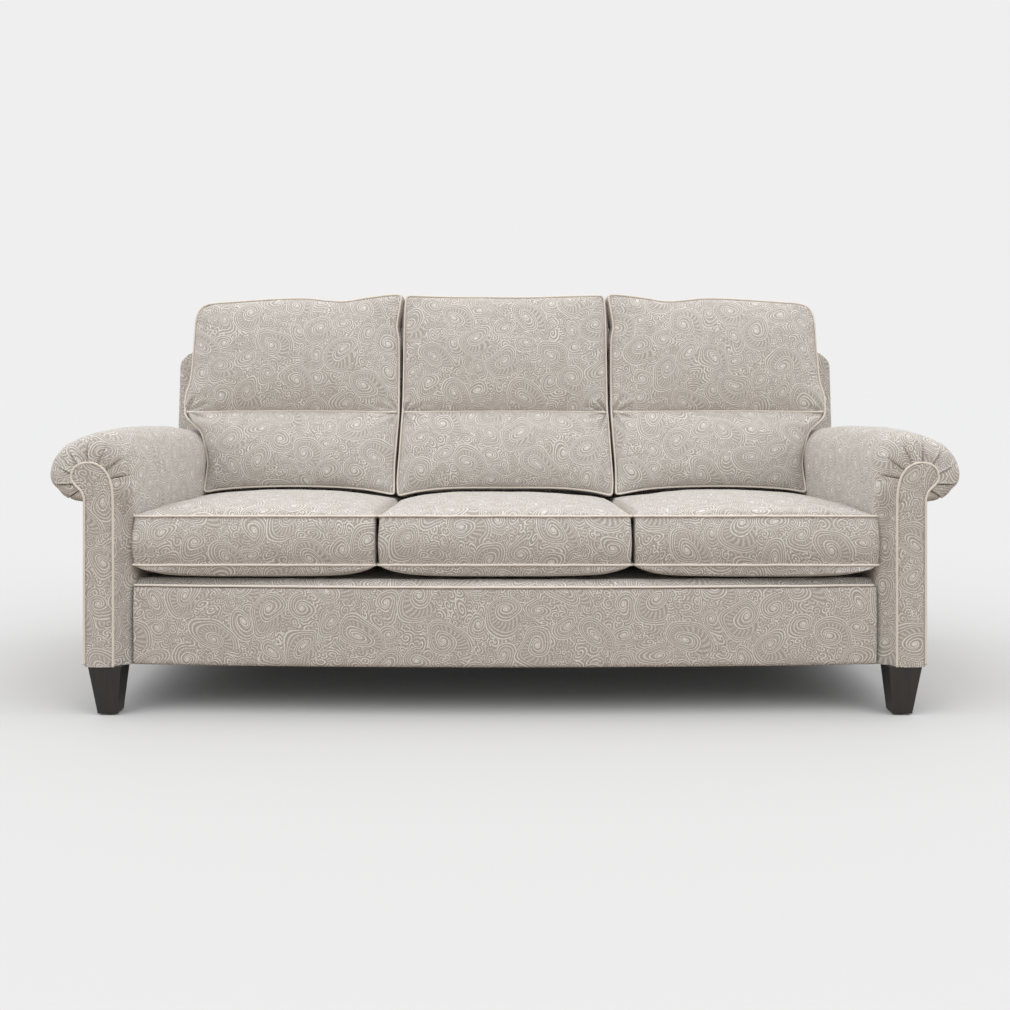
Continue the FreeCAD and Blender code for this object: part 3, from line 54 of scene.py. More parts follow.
# The piping's radius, the step of an outline's points, and how far a corner's rounding holds along it
PIPING, OUTLINE_STEP, CORNER_HOLD = 2.9, 2.0, 45.0


# Lines
def run_along(line):
    """How far each point of a line is along it."""
    return np.concatenate([[0.0], np.cumsum(np.linalg.norm(np.diff(line, axis=0), axis=1))])


def resample(line, shares):
    """Points at the given shares of a line's length."""
    line = np.asarray(line, float)
    reach = run_along(line)
    wanted = np.asarray(shares) * reach[-1]
    return np.stack([np.interp(wanted, reach, part) for part in line.T], axis=1)


def even(line, step):
    """The same line with points a step apart."""
    return resample(line, np.linspace(0, 1, max(2, round(run_along(line)[-1] / step) + 1)))


def smooth_line(points, step=2.0):
    """A Catmull-Rom curve through the points."""
    points = np.asarray(points, float)
    if len(points) == 2:
        return even(points, step)
    ghost = np.concatenate([[2 * points[0] - points[1]], points, [2 * points[-1] - points[-2]]])
    t = np.linspace(0, 1, 16, endpoint=False)[:, None]
    runs = []
    for a, b, c, d in zip(ghost[:-3], ghost[1:-2], ghost[2:-1], ghost[3:]):
        runs.append(0.5 * (2 * b + (c - a) * t + (2 * a - 5 * b + 4 * c - d) * t ** 2
                           + (3 * b - a - 3 * c + d) * t ** 3))
    return even(np.concatenate(runs + [points[-1:]]), step)


def clustered(count, bias=0.6):
    """Shares from 0 to 1, closer together near both ends."""
    t = np.linspace(0, 1, count)
    return (1 - bias) * t + bias * (0.5 - 0.5 * np.cos(np.pi * t))


def smoothstep(t):
    t = np.clip(t, 0, 1)
    return t * t * (3 - 2 * t)


def closed(line):
    return np.concatenate([line, line[:1]])


def cut_line(line, steps):
    """The line's parts of so many steps each, with the points that they share."""
    ends = np.cumsum([0, *steps])
    return [line[a:b + 1] for a, b in zip(ends[:-1], ends[1:])]


def softened(sides, spreads):
    """A closed outline of open sides, each corner rounded over its spread; returns its sides again."""
    pieces = [even(side, OUTLINE_STEP)[:-1] for side in sides]
    steps = [len(piece) for piece in pieces]
    line = np.concatenate(pieces)
    count = len(line)
    index = np.arange(count)

    def gap_to(others):
        return (others[None, :] - index[:, None] + count / 2) % count - count / 2

    corner_gap = gap_to(np.cumsum([0] + steps)[:-1])
    nearness = np.exp(-0.5 * (corner_gap * OUTLINE_STEP / CORNER_HOLD) ** 2) + 1e-9
    spread = (nearness * np.asarray(spreads)).sum(1) / nearness.sum(1)
    weights = np.exp(-0.5 * (gap_to(index) * OUTLINE_STEP / spread[:, None]) ** 2)
    return cut_line(closed((weights / weights.sum(1, keepdims=True)) @ line), steps)


def ring_of(sides, shares):
    """One closed line through the sampled sides."""
    return closed(np.concatenate([resample(side, share)[:-1] for side, share in zip(sides, shares)]))


def outward(line):
    """The outward normals of a closed flat outline that runs anticlockwise."""
    ahead = np.roll(line[:-1], -1, axis=0) - np.roll(line[:-1], 1, axis=0)
    normal = np.stack([ahead[:, 1], -ahead[:, 0]], axis=1)
    return closed(normal / np.linalg.norm(normal, axis=1, keepdims=True))


def left_of(line):
    """The normals on the left of an open flat line."""
    ahead = np.gradient(line, axis=0)
    normal = np.stack([-ahead[:, 1], ahead[:, 0]], axis=1)
    return normal / np.linalg.norm(normal, axis=1, keepdims=True)


# Grids
def coons_grid(bottom, right, top, left, across, up):
    """A grid of points between four sides whose points are the grid's own."""
    u, v = across[None, :, None], up[:, None, None]
    ruled = (1 - v) * bottom[None] + v * top[None] + (1 - u) * left[:, None] + u * right[:, None]
    corners = ((1 - u) * (1 - v) * bottom[0] + u * (1 - v) * bottom[-1]
               + (1 - u) * v * top[0] + u * v * top[-1])
    return ruled - corners


def coons(bottom, right, top, left, across, up):
    """A grid between four sides; bottom and top run to the right, left and right upward."""
    return coons_grid(resample(bottom, across), resample(right, up), resample(top, across),
                      resample(left, up), across, up)


def flat_grid(across, up):
    """Every pair of a value across and a value up."""
    return np.stack(np.meshgrid(across, up), axis=-1)


def with_height(flat, height):
    return np.concatenate([flat, np.broadcast_to(height, flat.shape[:2])[..., None]], axis=-1)


def field(points, scale, seed):
    """Smooth noise between about -1 and 1 at each point."""
    flat = points.reshape(-1, points.shape[-1]) / np.asarray(scale, float)
    if flat.shape[1] == 2:
        flat = np.concatenate([flat, np.zeros((len(flat), 1))], axis=1)
    flat = flat + np.array([seed * 17.3, seed * 5.1, seed * 9.7])
    return np.array([noise.noise(Vector(p)) for p in flat]).reshape(points.shape[:-1])


def running(points, axis):
    """Distances over a grid along one axis, from its first row or column."""
    steps = np.linalg.norm(np.diff(points, axis=axis), axis=2)
    return np.concatenate([np.zeros_like(np.take(steps, [0], axis)), np.cumsum(steps, axis=axis)], axis=axis)


def puckers(flat, depth, seed, sides=(1, 1, 1, 1), period=19.0, fade=26.0):
    """Small gathers that run in from the left, right, bottom and top seam, and fade soon."""
    left, bottom = running(flat, 1), running(flat, 0)
    right, top = left[:, -1:] - left, bottom[-1:] - bottom
    height = np.zeros(flat.shape[:2])
    for k, (gap, along) in enumerate(((left, bottom), (right, bottom), (bottom, left), (top, left))):
        wave = field(np.stack([along, gap * 0.22], axis=-1), period, seed + 3.1 * k)
        height += sides[k] * depth * wave * np.exp(-gap / fade) * (1 - np.exp(-gap / 4.0))
    return height


def corner_folds(flat, corner, depth, seed, reach=60.0, spokes=2.6):
    """Folds that fan out from one corner."""
    away = flat - np.asarray(corner, float)
    radius = np.linalg.norm(away, axis=-1)
    angle = np.arctan2(away[..., 1], away[..., 0])
    ring = np.stack([np.cos(angle) * spokes, np.sin(angle) * spokes, radius / 150.0], axis=-1)
    rise = radius / (0.35 * reach)
    return depth * field(ring, 1.0, seed) * rise * np.exp(1 - rise) * (radius < 4 * reach)


def crease(flat, start, end, depth, width=5.0):
    """A valley along a line, with a soft ridge beside it, deepest near its start."""
    ahead = end - start
    reach = np.linalg.norm(ahead)
    ahead /= reach
    away = flat - start
    share = away @ ahead / reach
    fade = smoothstep((share + 0.12) / 0.2) * (1 - smoothstep((share - 0.25) / 0.75))
    beside = away @ np.array([-ahead[1], ahead[0]]) - 0.12 * reach * share ** 2
    return depth * fade * (0.7 * np.exp(-((beside - 1.9 * width) / (1.3 * width)) ** 2)
                           - np.exp(-(beside / width) ** 2))


def bulge(shares, power=1.0, order=3.0):
    """The rise between two seams: steep at both, flat in the middle."""
    return (1 - np.abs(2 * shares - 1) ** order) ** power


def crown(across, up, sideways, upward=None):
    """The rise of a stuffed panel, from the power and order of its bulge sideways and upward."""
    return bulge(across, *sideways)[None, :] * bulge(up, *(upward or sideways))[:, None]


def cloth_lie(points, flat):
    """Flat cloth coordinates for a stuffed panel: distances over it, from its middle."""
    row, column = flat.shape[0] // 2, flat.shape[1] // 2
    across, up = running(points, 1), running(points, 0)
    return np.stack([across - across[:, column:column + 1] + flat[:, column:column + 1, 0],
                     up - up[row:row + 1] + flat[row:row + 1, :, 1]], axis=-1)


class Cloth:
    """Gathers grids of points into one mesh, each grid with its own flat cloth coordinates."""

    def __init__(self):
        self.points, self.flat, self.quads, self.count = [], [], [], 0

    def grid(self, points, flat, flip=False):
        rows, columns = points.shape[:2]
        index = np.arange(rows * columns).reshape(rows, columns) + self.count
        quads = np.stack([index[:-1, :-1], index[:-1, 1:], index[1:, 1:], index[1:, :-1]], axis=-1)
        quads = quads.reshape(-1, 4)
        self.quads.append(quads[:, ::-1] if flip else quads)
        self.points.append(points.reshape(-1, 3))
        self.flat.append(flat.reshape(-1, 2))
        self.count += rows * columns
        return self

    def build(self, name, *nodes, body="frame", slot="upholstery_fabric", mirrored=False, folded=False):
        """The piece of that cloth on its body, in place of the nodes; folded keeps its folds sharp."""
        points = np.concatenate(self.points) * MM
        quads, flat = np.concatenate(self.quads), np.concatenate(self.flat) * MM
        if mirrored:
            points = points * np.array([-1.0, 1.0, 1.0])
            flat = flat * np.array([-1.0, 1.0])
            quads = quads[:, ::-1]
        mesh = bpy.data.meshes.new(name)
        mesh.from_pydata(points.tolist(), [], quads.tolist())
        mesh.uv_layers.new(name=CLOTH_MAP)
        mesh.uv_layers[CLOTH_MAP].data.foreach_set("uv", flat[quads.ravel()].ravel())
        form = bmesh.new()
        form.from_mesh(mesh)
        bmesh.ops.remove_doubles(form, verts=form.verts, dist=0.05 * MM)
        bmesh.ops.dissolve_degenerate(form, edges=form.edges, dist=0.01 * MM)
        bmesh.ops.recalc_face_normals(form, faces=form.faces)
        form.to_mesh(mesh)
        form.free()
        mesh.shade_smooth()
        if folded:
            mesh.set_sharp_from_angle(angle=math.radians(48))
        mesh.materials.append(CLOTHS[slot])
        piece = bpy.data.objects.new(name, mesh)
        bpy.context.scene.collection.objects.link(piece)
        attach(piece, body)
        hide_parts(*nodes)
        return piece


def tube_rings(line, radius, is_closed, sides=10):
    """Rings of points round a line, without twist."""
    if is_closed:
        ahead = np.roll(line, -1, axis=0) - np.roll(line, 1, axis=0)
    else:
        ahead = np.gradient(line, axis=0)
    ahead /= np.linalg.norm(ahead, axis=1, keepdims=True)
    normal = np.cross(ahead[0], [0.0, 0.0, 1.0])
    if np.linalg.norm(normal) < 0.1:
        normal = np.cross(ahead[0], [1.0, 0.0, 0.0])
    normals = []
    for direction in ahead:
        normal = normal - direction * normal.dot(direction)
        normal = normal / np.linalg.norm(normal)
        normals.append(normal)
    normals = np.array(normals)
    across = np.cross(ahead, normals)
    if is_closed:
        slip = math.atan2(normals[0].dot(across[-1]), normals[0].dot(normals[-1]))
        turn = np.linspace(0, slip, len(line))[:, None]
        normals, across = (np.cos(turn) * normals + np.sin(turn) * across,
                           np.cos(turn) * across - np.sin(turn) * normals)
    angle = np.linspace(0, TURN, sides + 1)[None, :, None]
    return line[:, None] + radius * (np.cos(angle) * normals[:, None] + np.sin(angle) * across[:, None])


def piping(cloth, line, is_closed=True, step=5.0):
    """Adds a piping along a line to a cloth."""
    line = even(line, step)
    if is_closed:
        line = line[:-1]
    rings = tube_rings(line, PIPING, is_closed)
    if is_closed:
        rings = closed(rings)
    round_it = np.linspace(0, TURN * PIPING, rings.shape[1])
    cloth.grid(rings, flat_grid(round_it, np.arange(len(rings)) * step))
    if not is_closed:
        for ring, middle, flip in ((rings[0], line[0], True), (rings[-1], line[-1], False)):
            cap = np.stack([ring, ring * 0.5 + middle * 0.5, np.broadcast_to(middle, ring.shape)])
            cloth.grid(cap, np.zeros(cap.shape[:2] + (2,)), flip)
    return cloth


# Materials
def joined(operation, swapped=False):
    return lambda one, other: one.recipe.math(operation, *((other, one) if swapped else (one, other)))


class Value:
    """An output of a node; arithmetic with it adds nodes."""

    def __init__(self, recipe, socket):
        self.recipe, self.socket = recipe, socket

    __add__, __radd__ = joined("ADD"), joined("ADD", True)
    __sub__, __rsub__ = joined("SUBTRACT"), joined("SUBTRACT", True)
    __mul__, __rmul__ = joined("MULTIPLY"), joined("MULTIPLY", True)
    __truediv__, __rtruediv__ = joined("DIVIDE"), joined("DIVIDE", True)

    def __abs__(self):
        return self.recipe.math("ABSOLUTE", self)


class Recipe:
    """Shorthand for a node tree."""

    def __init__(self, tree):
        self.tree = tree

    def feed(self, socket, value):
        if isinstance(value, Value):
            self.tree.links.new(value.socket, socket)
        else:
            socket.default_value = value

    def node(self, kind, inputs=(), **settings):
        """A node with its settings, and its inputs by label or number."""
        node = self.tree.nodes.new(kind)
        for key, value in settings.items():
            setattr(node, key, value)
        for key, value in (inputs.items() if isinstance(inputs, dict) else enumerate(inputs)):
            self.feed(node.inputs[key], value)
        return node

    def value(self, kind, inputs=(), output=0, **settings):
        """One output of such a node."""
        return Value(self, self.node(kind, inputs, **settings).outputs[output])

    def math(self, operation, *values, clamp=False):
        return self.value("ShaderNodeMath", values, operation=operation, use_clamp=clamp)

    def ramp(self, value, low, high):
        """0 below low, 1 above high, smooth between."""
        return self.value("ShaderNodeMapRange", (value, low, high), interpolation_type="SMOOTHSTEP")

    def mix(self, share, first, second):
        """One value or the other."""
        return self.value("ShaderNodeMix", {0: share, 2: first, 3: second}, data_type="FLOAT")

    def tint(self, share, first, second, blend="MIX"):
        """One colour or the other."""
        return self.value("ShaderNodeMix", {0: share, 6: first, 7: second}, 2, data_type="RGBA",
                          blend_type=blend)

    def noise(self, vector, scale, detail=2.0, output="Fac", distortion=0.0):
        inputs = {"Vector": vector, "Scale": scale, "Detail": detail, "Distortion": distortion}
        return self.value("ShaderNodeTexNoise", inputs, output)

    def combine(self, x, y, z=0.0):
        return self.value("ShaderNodeCombineXYZ", (x, y, z))

    def separate(self, vector):
        node = self.node("ShaderNodeSeparateXYZ", (vector,))
        return [Value(self, socket) for socket in node.outputs]

    def bump(self, height, strength, distance):
        return self.value("ShaderNodeBump", {"Strength": strength, "Distance": distance, "Height": height})

    def stretched(self, scale):
        """Places in the object, stretched."""
        place = self.value("ShaderNodeTexCoord", output="Object")
        return self.value("ShaderNodeMapping", {"Vector": place, "Scale": scale})

    def cloth_place(self):
        """Cloth coordinates in millimetres."""
        u, v, _ = self.separate(self.value("ShaderNodeUVMap", uv_map=CLOTH_MAP))
        return u * 1000.0, v * 1000.0


def new_material(name, **settings):
    """A material with its surface shader; the settings go on the shader's own sockets."""
    material = bpy.data.materials.new(name)
    material.use_nodes = True
    shader = material.node_tree.nodes["Principled BSDF"]
    for key, value in settings.items():
        shader.inputs[key.replace("_", " ")].default_value = value
    return material, Recipe(material.node_tree), shader


def new_group(name, inputs, outputs):
    tree = bpy.data.node_groups.new(name, "ShaderNodeTree")
    for labels, way in ((inputs, "INPUT"), (outputs, "OUTPUT")):
        for label in labels:
            tree.interface.new_socket(name=label, in_out=way, socket_type="NodeSocketFloat")
    recipe = Recipe(tree)
    given = {socket.name: Value(recipe, socket) for socket in recipe.node("NodeGroupInput").outputs}
    return tree, recipe, given, recipe.node("NodeGroupOutput").inputs


# The pattern's scale on the cloth, and its repeat, half dropped from one column to the next
PATTERN_SCALE = 1.1
REPEAT_ACROSS, REPEAT_UP = 303.0, 260.0
# A scroll's arm comes in by this much, as a natural logarithm, with each turn; it is drawn out one way
WIND, DRAWN_OUT = 0.78, 1.38
# Scrolls in one repeat: across, up, size, turn and hand; the later ones lie over the earlier ones
VOLUTES = (
    (75, 42, 52, 0.2, -1), (150, -40, 56, 0.7, 1), (150, 150, 52, 0.0, -1), (232, 80, 56, 0.45, 1),
    (0, -90, 58, 0.9, -1), (0, 0, 92, 0.1, 1), (150, 60, 86, 0.4, -1), (75, 140, 82, 0.62, 1),
    (232, -20, 90, 0.85, -1),
)
VOLUTE_INPUTS = ("U", "V", "Across", "Up", "Size", "Turn", "Hand")


def strokes(r, phase, wide=0.27, narrow=0.11):
    """A light stroke in the middle of each unit of the phase."""
    return r.ramp(abs(r.math("FRACT", phase) - 0.5), wide, narrow)


def volute_group():
    """One scroll of the pattern: an arm of parallel strokes that winds in, with feathers inside it."""
    tree, r, given, out = new_group("volute", VOLUTE_INPUTS, ("Lines", "Inside"))
    u = given["U"] - given["Across"]
    column = r.math("ROUND", u / REPEAT_ACROSS)
    x = u - column * REPEAT_ACROSS
    odd = r.math("FLOORED_MODULO", column, 2.0)
    y = r.math("WRAP", given["V"] - given["Up"] - odd * (REPEAT_UP / 2), REPEAT_UP / 2, -REPEAT_UP / 2)
    lean = given["Turn"] * TURN
    cosine, sine = r.math("COSINE", lean), r.math("SINE", lean)
    x, y = x * cosine - y * sine, (x * sine + y * cosine) * DRAWN_OUT
    radius = r.math("MAXIMUM", r.math("SQRT", x * x + y * y), 0.5)
    turn = r.math("FRACT", r.math("ARCTAN2", y, x) * given["Hand"] / TURN + given["Turn"])
    part = r.math("FRACT", r.math("LOGARITHM", given["Size"] / radius, math.e) / WIND - turn)
    scale = radius * WIND
    from_outer, from_inner = part * scale, (1.0 - part) * scale
    # The arm's edge, the strokes beside it, the feathers between them and the eye
    lines = r.ramp(r.math("MINIMUM", from_outer, from_inner), 2.1, 0.8) * 0.92
    for away, weight in ((6.2, 0.8), (11.6, 0.65)):
        stroke = r.ramp(abs(from_outer - away), 1.6, 0.6) * r.ramp(from_inner, 3.0, 4.5)
        lines = r.math("MAXIMUM", lines, stroke * weight)
    feathers = strokes(r, turn * 24.0 + from_outer / 15.0, 0.32, 0.12)
    room_for = r.ramp(from_outer, 13.5, 15.0) * r.ramp(from_inner, 3.2, 4.6)
    lines = r.math("MAXIMUM", lines, feathers * room_for * 0.5)
    lines = r.math("MAXIMUM", lines, r.ramp(radius, 4.0, 2.6) * 0.85)
    # The arm's outer end grows out of the turn before it
    grown_out = r.math("EXPONENT", (1.0 - turn) * WIND) - 1.0
    reach = (1.0 + grown_out * r.ramp(turn, 0.0, 0.22)) * given["Size"] * math.exp(-WIND)
    r.feed(out["Lines"], lines)
    r.feed(out["Inside"], r.ramp(reach - radius, -3.2, -2.2))
    return tree


def small_curls(r, u, v, size, pitch):
    """Curls, one to a cell, each with its own turn and hand."""
    flat = r.combine(u, v)
    cells = r.node("ShaderNodeTexVoronoi", {"Vector": flat, "Scale": 1 / size, "Randomness": 0.9},
                   voronoi_dimensions="2D")
    middle, colour = Value(r, cells.outputs["Position"]), Value(r, cells.outputs["Color"])
    x, y, _ = r.separate(r.value("ShaderNodeVectorMath", (flat, middle), operation="SUBTRACT"))
    chance, hand, _ = r.separate(colour)
    spin = r.math("ARCTAN2", y, x) / TURN * r.math("SIGN", hand - 0.5)
    return strokes(r, r.math("SQRT", x * x + y * y) / pitch + spin + (chance + 9.0))


def scroll_pattern(r, u, v):
    """The woven pattern's light threads, from 0 to 1, for cloth coordinates in millimetres."""
    sway_x, sway_y, _ = r.separate(r.noise(r.combine(u, v), 0.012, 0.0, "Color"))
    u, v = u + (sway_x - 0.5) * 46.0, v + (sway_y - 0.5) * 46.0
    flat = r.combine(u, v)
    fine, wide = small_curls(r, u, v, 17.0, 6.2), small_curls(r, u, v, 30.0, 7.0)
    chooser = r.ramp(r.noise(flat, 0.022, 0.0), 0.49, 0.51)
    weight = 0.55 + r.ramp(r.noise(flat, 0.035, 1.0), 0.36, 0.62) * 0.5
    lines = r.mix(chooser, fine, wide) * weight
    group = volute_group()
    for leaf in VOLUTES:
        node = r.node("ShaderNodeGroup", node_tree=group)
        for label, value in zip(VOLUTE_INPUTS, (u, v) + leaf):
            r.feed(node.inputs[label], value)
        lines = r.mix(Value(r, node.outputs["Inside"]), lines, Value(r, node.outputs["Lines"]))
    return lines


def fabric_material():
    """A flat-woven fabric: light scrolls on a stone ground, with the weave of both threads."""
    material, r, shader = new_material("upholstery_fabric", Roughness=0.88, Specular_IOR_Level=0.25,
                                       Sheen_Weight=0.12, Sheen_Roughness=0.5)
    u, v = r.cloth_place()
    flat = r.combine(u, v)
    # Worn places in the scrolls, the speckle of the yarn, and its slubs both ways
    worn = r.ramp(r.noise(flat, 0.16, 2.0), 0.18, 0.46)
    lines = scroll_pattern(r, u * PATTERN_SCALE, v * PATTERN_SCALE) * worn
    grain = r.ramp(r.noise(flat, 0.36, 3.0), 0.3, 0.7)
    slubs = (r.noise(r.combine(u * 1.1, v * 0.06), 1.0, 1.0)
             + r.noise(r.combine(u * 0.06, v * 1.1), 1.0, 1.0))
    weave = r.math("SINE", u * (TURN / 1.1)) * r.math("SINE", v * (TURN / 1.1))
    ground = r.tint(grain, (0.352, 0.318, 0.285, 1), (0.512, 0.474, 0.436, 1))
    thread = r.tint(grain, (0.75, 0.715, 0.675, 1), (0.90, 0.87, 0.835, 1))
    shade = slubs * 0.30 + 0.70 + weave * 0.05
    colour = r.tint(1.0, r.tint(lines, ground, thread), r.combine(shade, shade, shade), "MULTIPLY")
    r.feed(shader.inputs["Base Color"], colour)
    raised = lines * 0.55 + weave * 0.22 + grain * 0.5
    r.feed(shader.inputs["Normal"], r.bump(raised, 0.5, 0.0009))
    return material


def piping_material():
    """Plain cream cord covered with bias-cut cloth."""
    material, r, shader = new_material("piping_cloth", Roughness=0.8, Specular_IOR_Level=0.3,
                                       Sheen_Weight=0.1)
    u, v = r.cloth_place()
    weave = r.math("SINE", (u + v) * (TURN / 1.3)) * r.math("SINE", (u - v) * (TURN / 1.3))
    grain = r.noise(r.combine(u, v), 0.3, 2.0)
    r.feed(shader.inputs["Base Color"], r.tint(grain, (0.78, 0.71, 0.625, 1), (0.90, 0.84, 0.765, 1)))
    r.feed(shader.inputs["Normal"], r.bump(weave + grain, 0.4, 0.0006))
    return material


def wood_material(name, dark, light, roughness):
    """Wood with its grain along the height."""
    material, r, shader = new_material(name, Roughness=roughness, Coat_Weight=0.0)
    grain = r.noise(r.stretched((60, 60, 5)), 1.0, 6.0, distortion=0.8)
    pores = r.noise(r.stretched((420, 420, 16)), 1.0, 2.0)
    share = r.math("ADD", grain * 0.75, pores * 0.3, clamp=True)
    r.feed(shader.inputs["Base Color"], r.tint(r.ramp(share, 0.3, 0.75), dark, light))
    r.feed(shader.inputs["Normal"], r.bump(pores, 0.25, 0.0004))
    return material


def plain_cloth_material(name, dark, light, weave_mm, roughness=0.9):
    """A plain cloth or webbing, coloured in space."""
    material, r, shader = new_material(name, Roughness=roughness)
    place = r.value("ShaderNodeTexCoord", output="Object")
    specks = r.noise(place, 1000 / weave_mm, 3.0)
    share = specks * 0.7 + r.noise(place, 14.0, 2.0) * 0.3
    r.feed(shader.inputs["Base Color"], r.tint(r.ramp(share, 0.35, 0.65), dark, light))
    r.feed(shader.inputs["Normal"], r.bump(specks, 0.5, 0.0008))
    return material


def metal_material(name, colour, roughness):
    material, r, shader = new_material(name, Metallic=1.0)
    scratches = r.noise(r.value("ShaderNodeTexCoord", output="Object"), 180.0, 4.0)
    r.feed(shader.inputs["Base Color"], r.tint(scratches, colour, tuple(c * 0.75 for c in colour[:3]) + (1,)))
    r.feed(shader.inputs["Roughness"], roughness + scratches * 0.15)
    return material


CLOTHS = {"upholstery_fabric": fabric_material(), "piping": piping_material()}
LEG_WOOD = wood_material("leg_wood", (0.008, 0.006, 0.0045, 1), (0.022, 0.015, 0.011, 1), 0.42)
FRAME_WOOD = wood_material("frame_wood", (0.42, 0.27, 0.14, 1), (0.63, 0.44, 0.26, 1), 0.6)
STEEL = metal_material("steel", (0.52, 0.52, 0.54, 1), 0.3)
GLIDE = plain_cloth_material("glide", (0.05, 0.048, 0.045, 1), (0.075, 0.07, 0.066, 1), 1.5, 0.5)
DUST = plain_cloth_material("dust_cloth", (0.02, 0.02, 0.021, 1), (0.045, 0.045, 0.047, 1), 0.8)
WEBBING = plain_cloth_material("webbing", (0.28, 0.2, 0.12, 1), (0.5, 0.39, 0.25, 1), 1.2)


# Places: from a cushion's or a panel's own frame to the room
def seat_place(centre):
    """The way from a seat cushion's own frame to the room."""
    base_y, base_z = -80.5, 303.1
    cosine, sine = math.cos(SEAT_TILT), math.sin(SEAT_TILT)

    def to_room(points):
        x, y, z = points[..., 0], points[..., 1], points[..., 2]
        return np.stack([centre + x, base_y + y * cosine + z * sine, base_z - y * sine + z * cosine], axis=-1)
    return to_room


def back_place(points):
    """From across, up the rake and ahead of the back, to the room."""
    x, v, ahead = points[..., 0], points[..., 1], points[..., 2]
    return np.stack([x, BACK_FOOT + v * math.sin(RAKE) - ahead * math.cos(RAKE),
                     v * math.cos(RAKE) + ahead * math.sin(RAKE)], axis=-1)


def upright(flat, y):
    """From across and height to the room, at a depth."""
    return np.stack([flat[..., 0], np.broadcast_to(y, flat.shape[:-1]), flat[..., 1]], axis=-1)


def rear_plane(height):
    """The depth of the back's rear at a height."""
    return BACK_FOOT + height * math.tan(RAKE) + BACK_THICK


def end_to_end(first, second):
    return np.concatenate([first[:-1], second])


def build_cushion(body, cover, edge):
    """A cushion's cover and its piping, in place of the cushion's solids."""
    cover.build(body + "_cloth", body + "_cover", body + "_fill", body=body)
    edge.build(body + "_cord", body + "_piping", body=body, slot="piping")


# Seat cushions: half their depth, their outer sides and the split between them with its play, their
# seams' heights, the rise of their tops, how far the underside would hang free, how far the four sides
# are drawn in, and how far the side seams are pressed down
SEAT_END, SEAT_SIDE = 354.0, 869.0
SEAT_SPLIT, SEAT_PLAY = 301.5, 0.8
SEAT_LOW_SEAM, SEAT_TOP_SEAM = 29.5, 144.0
SEAT_CROWN, MIDDLE_CROWN, SEAT_UNDER = 42.5, 36.0, 62.0
SEAT_DRAWN_IN = (1.5, 4.0, 4.0, 4.0)
SEAM_SUNK = 9.0


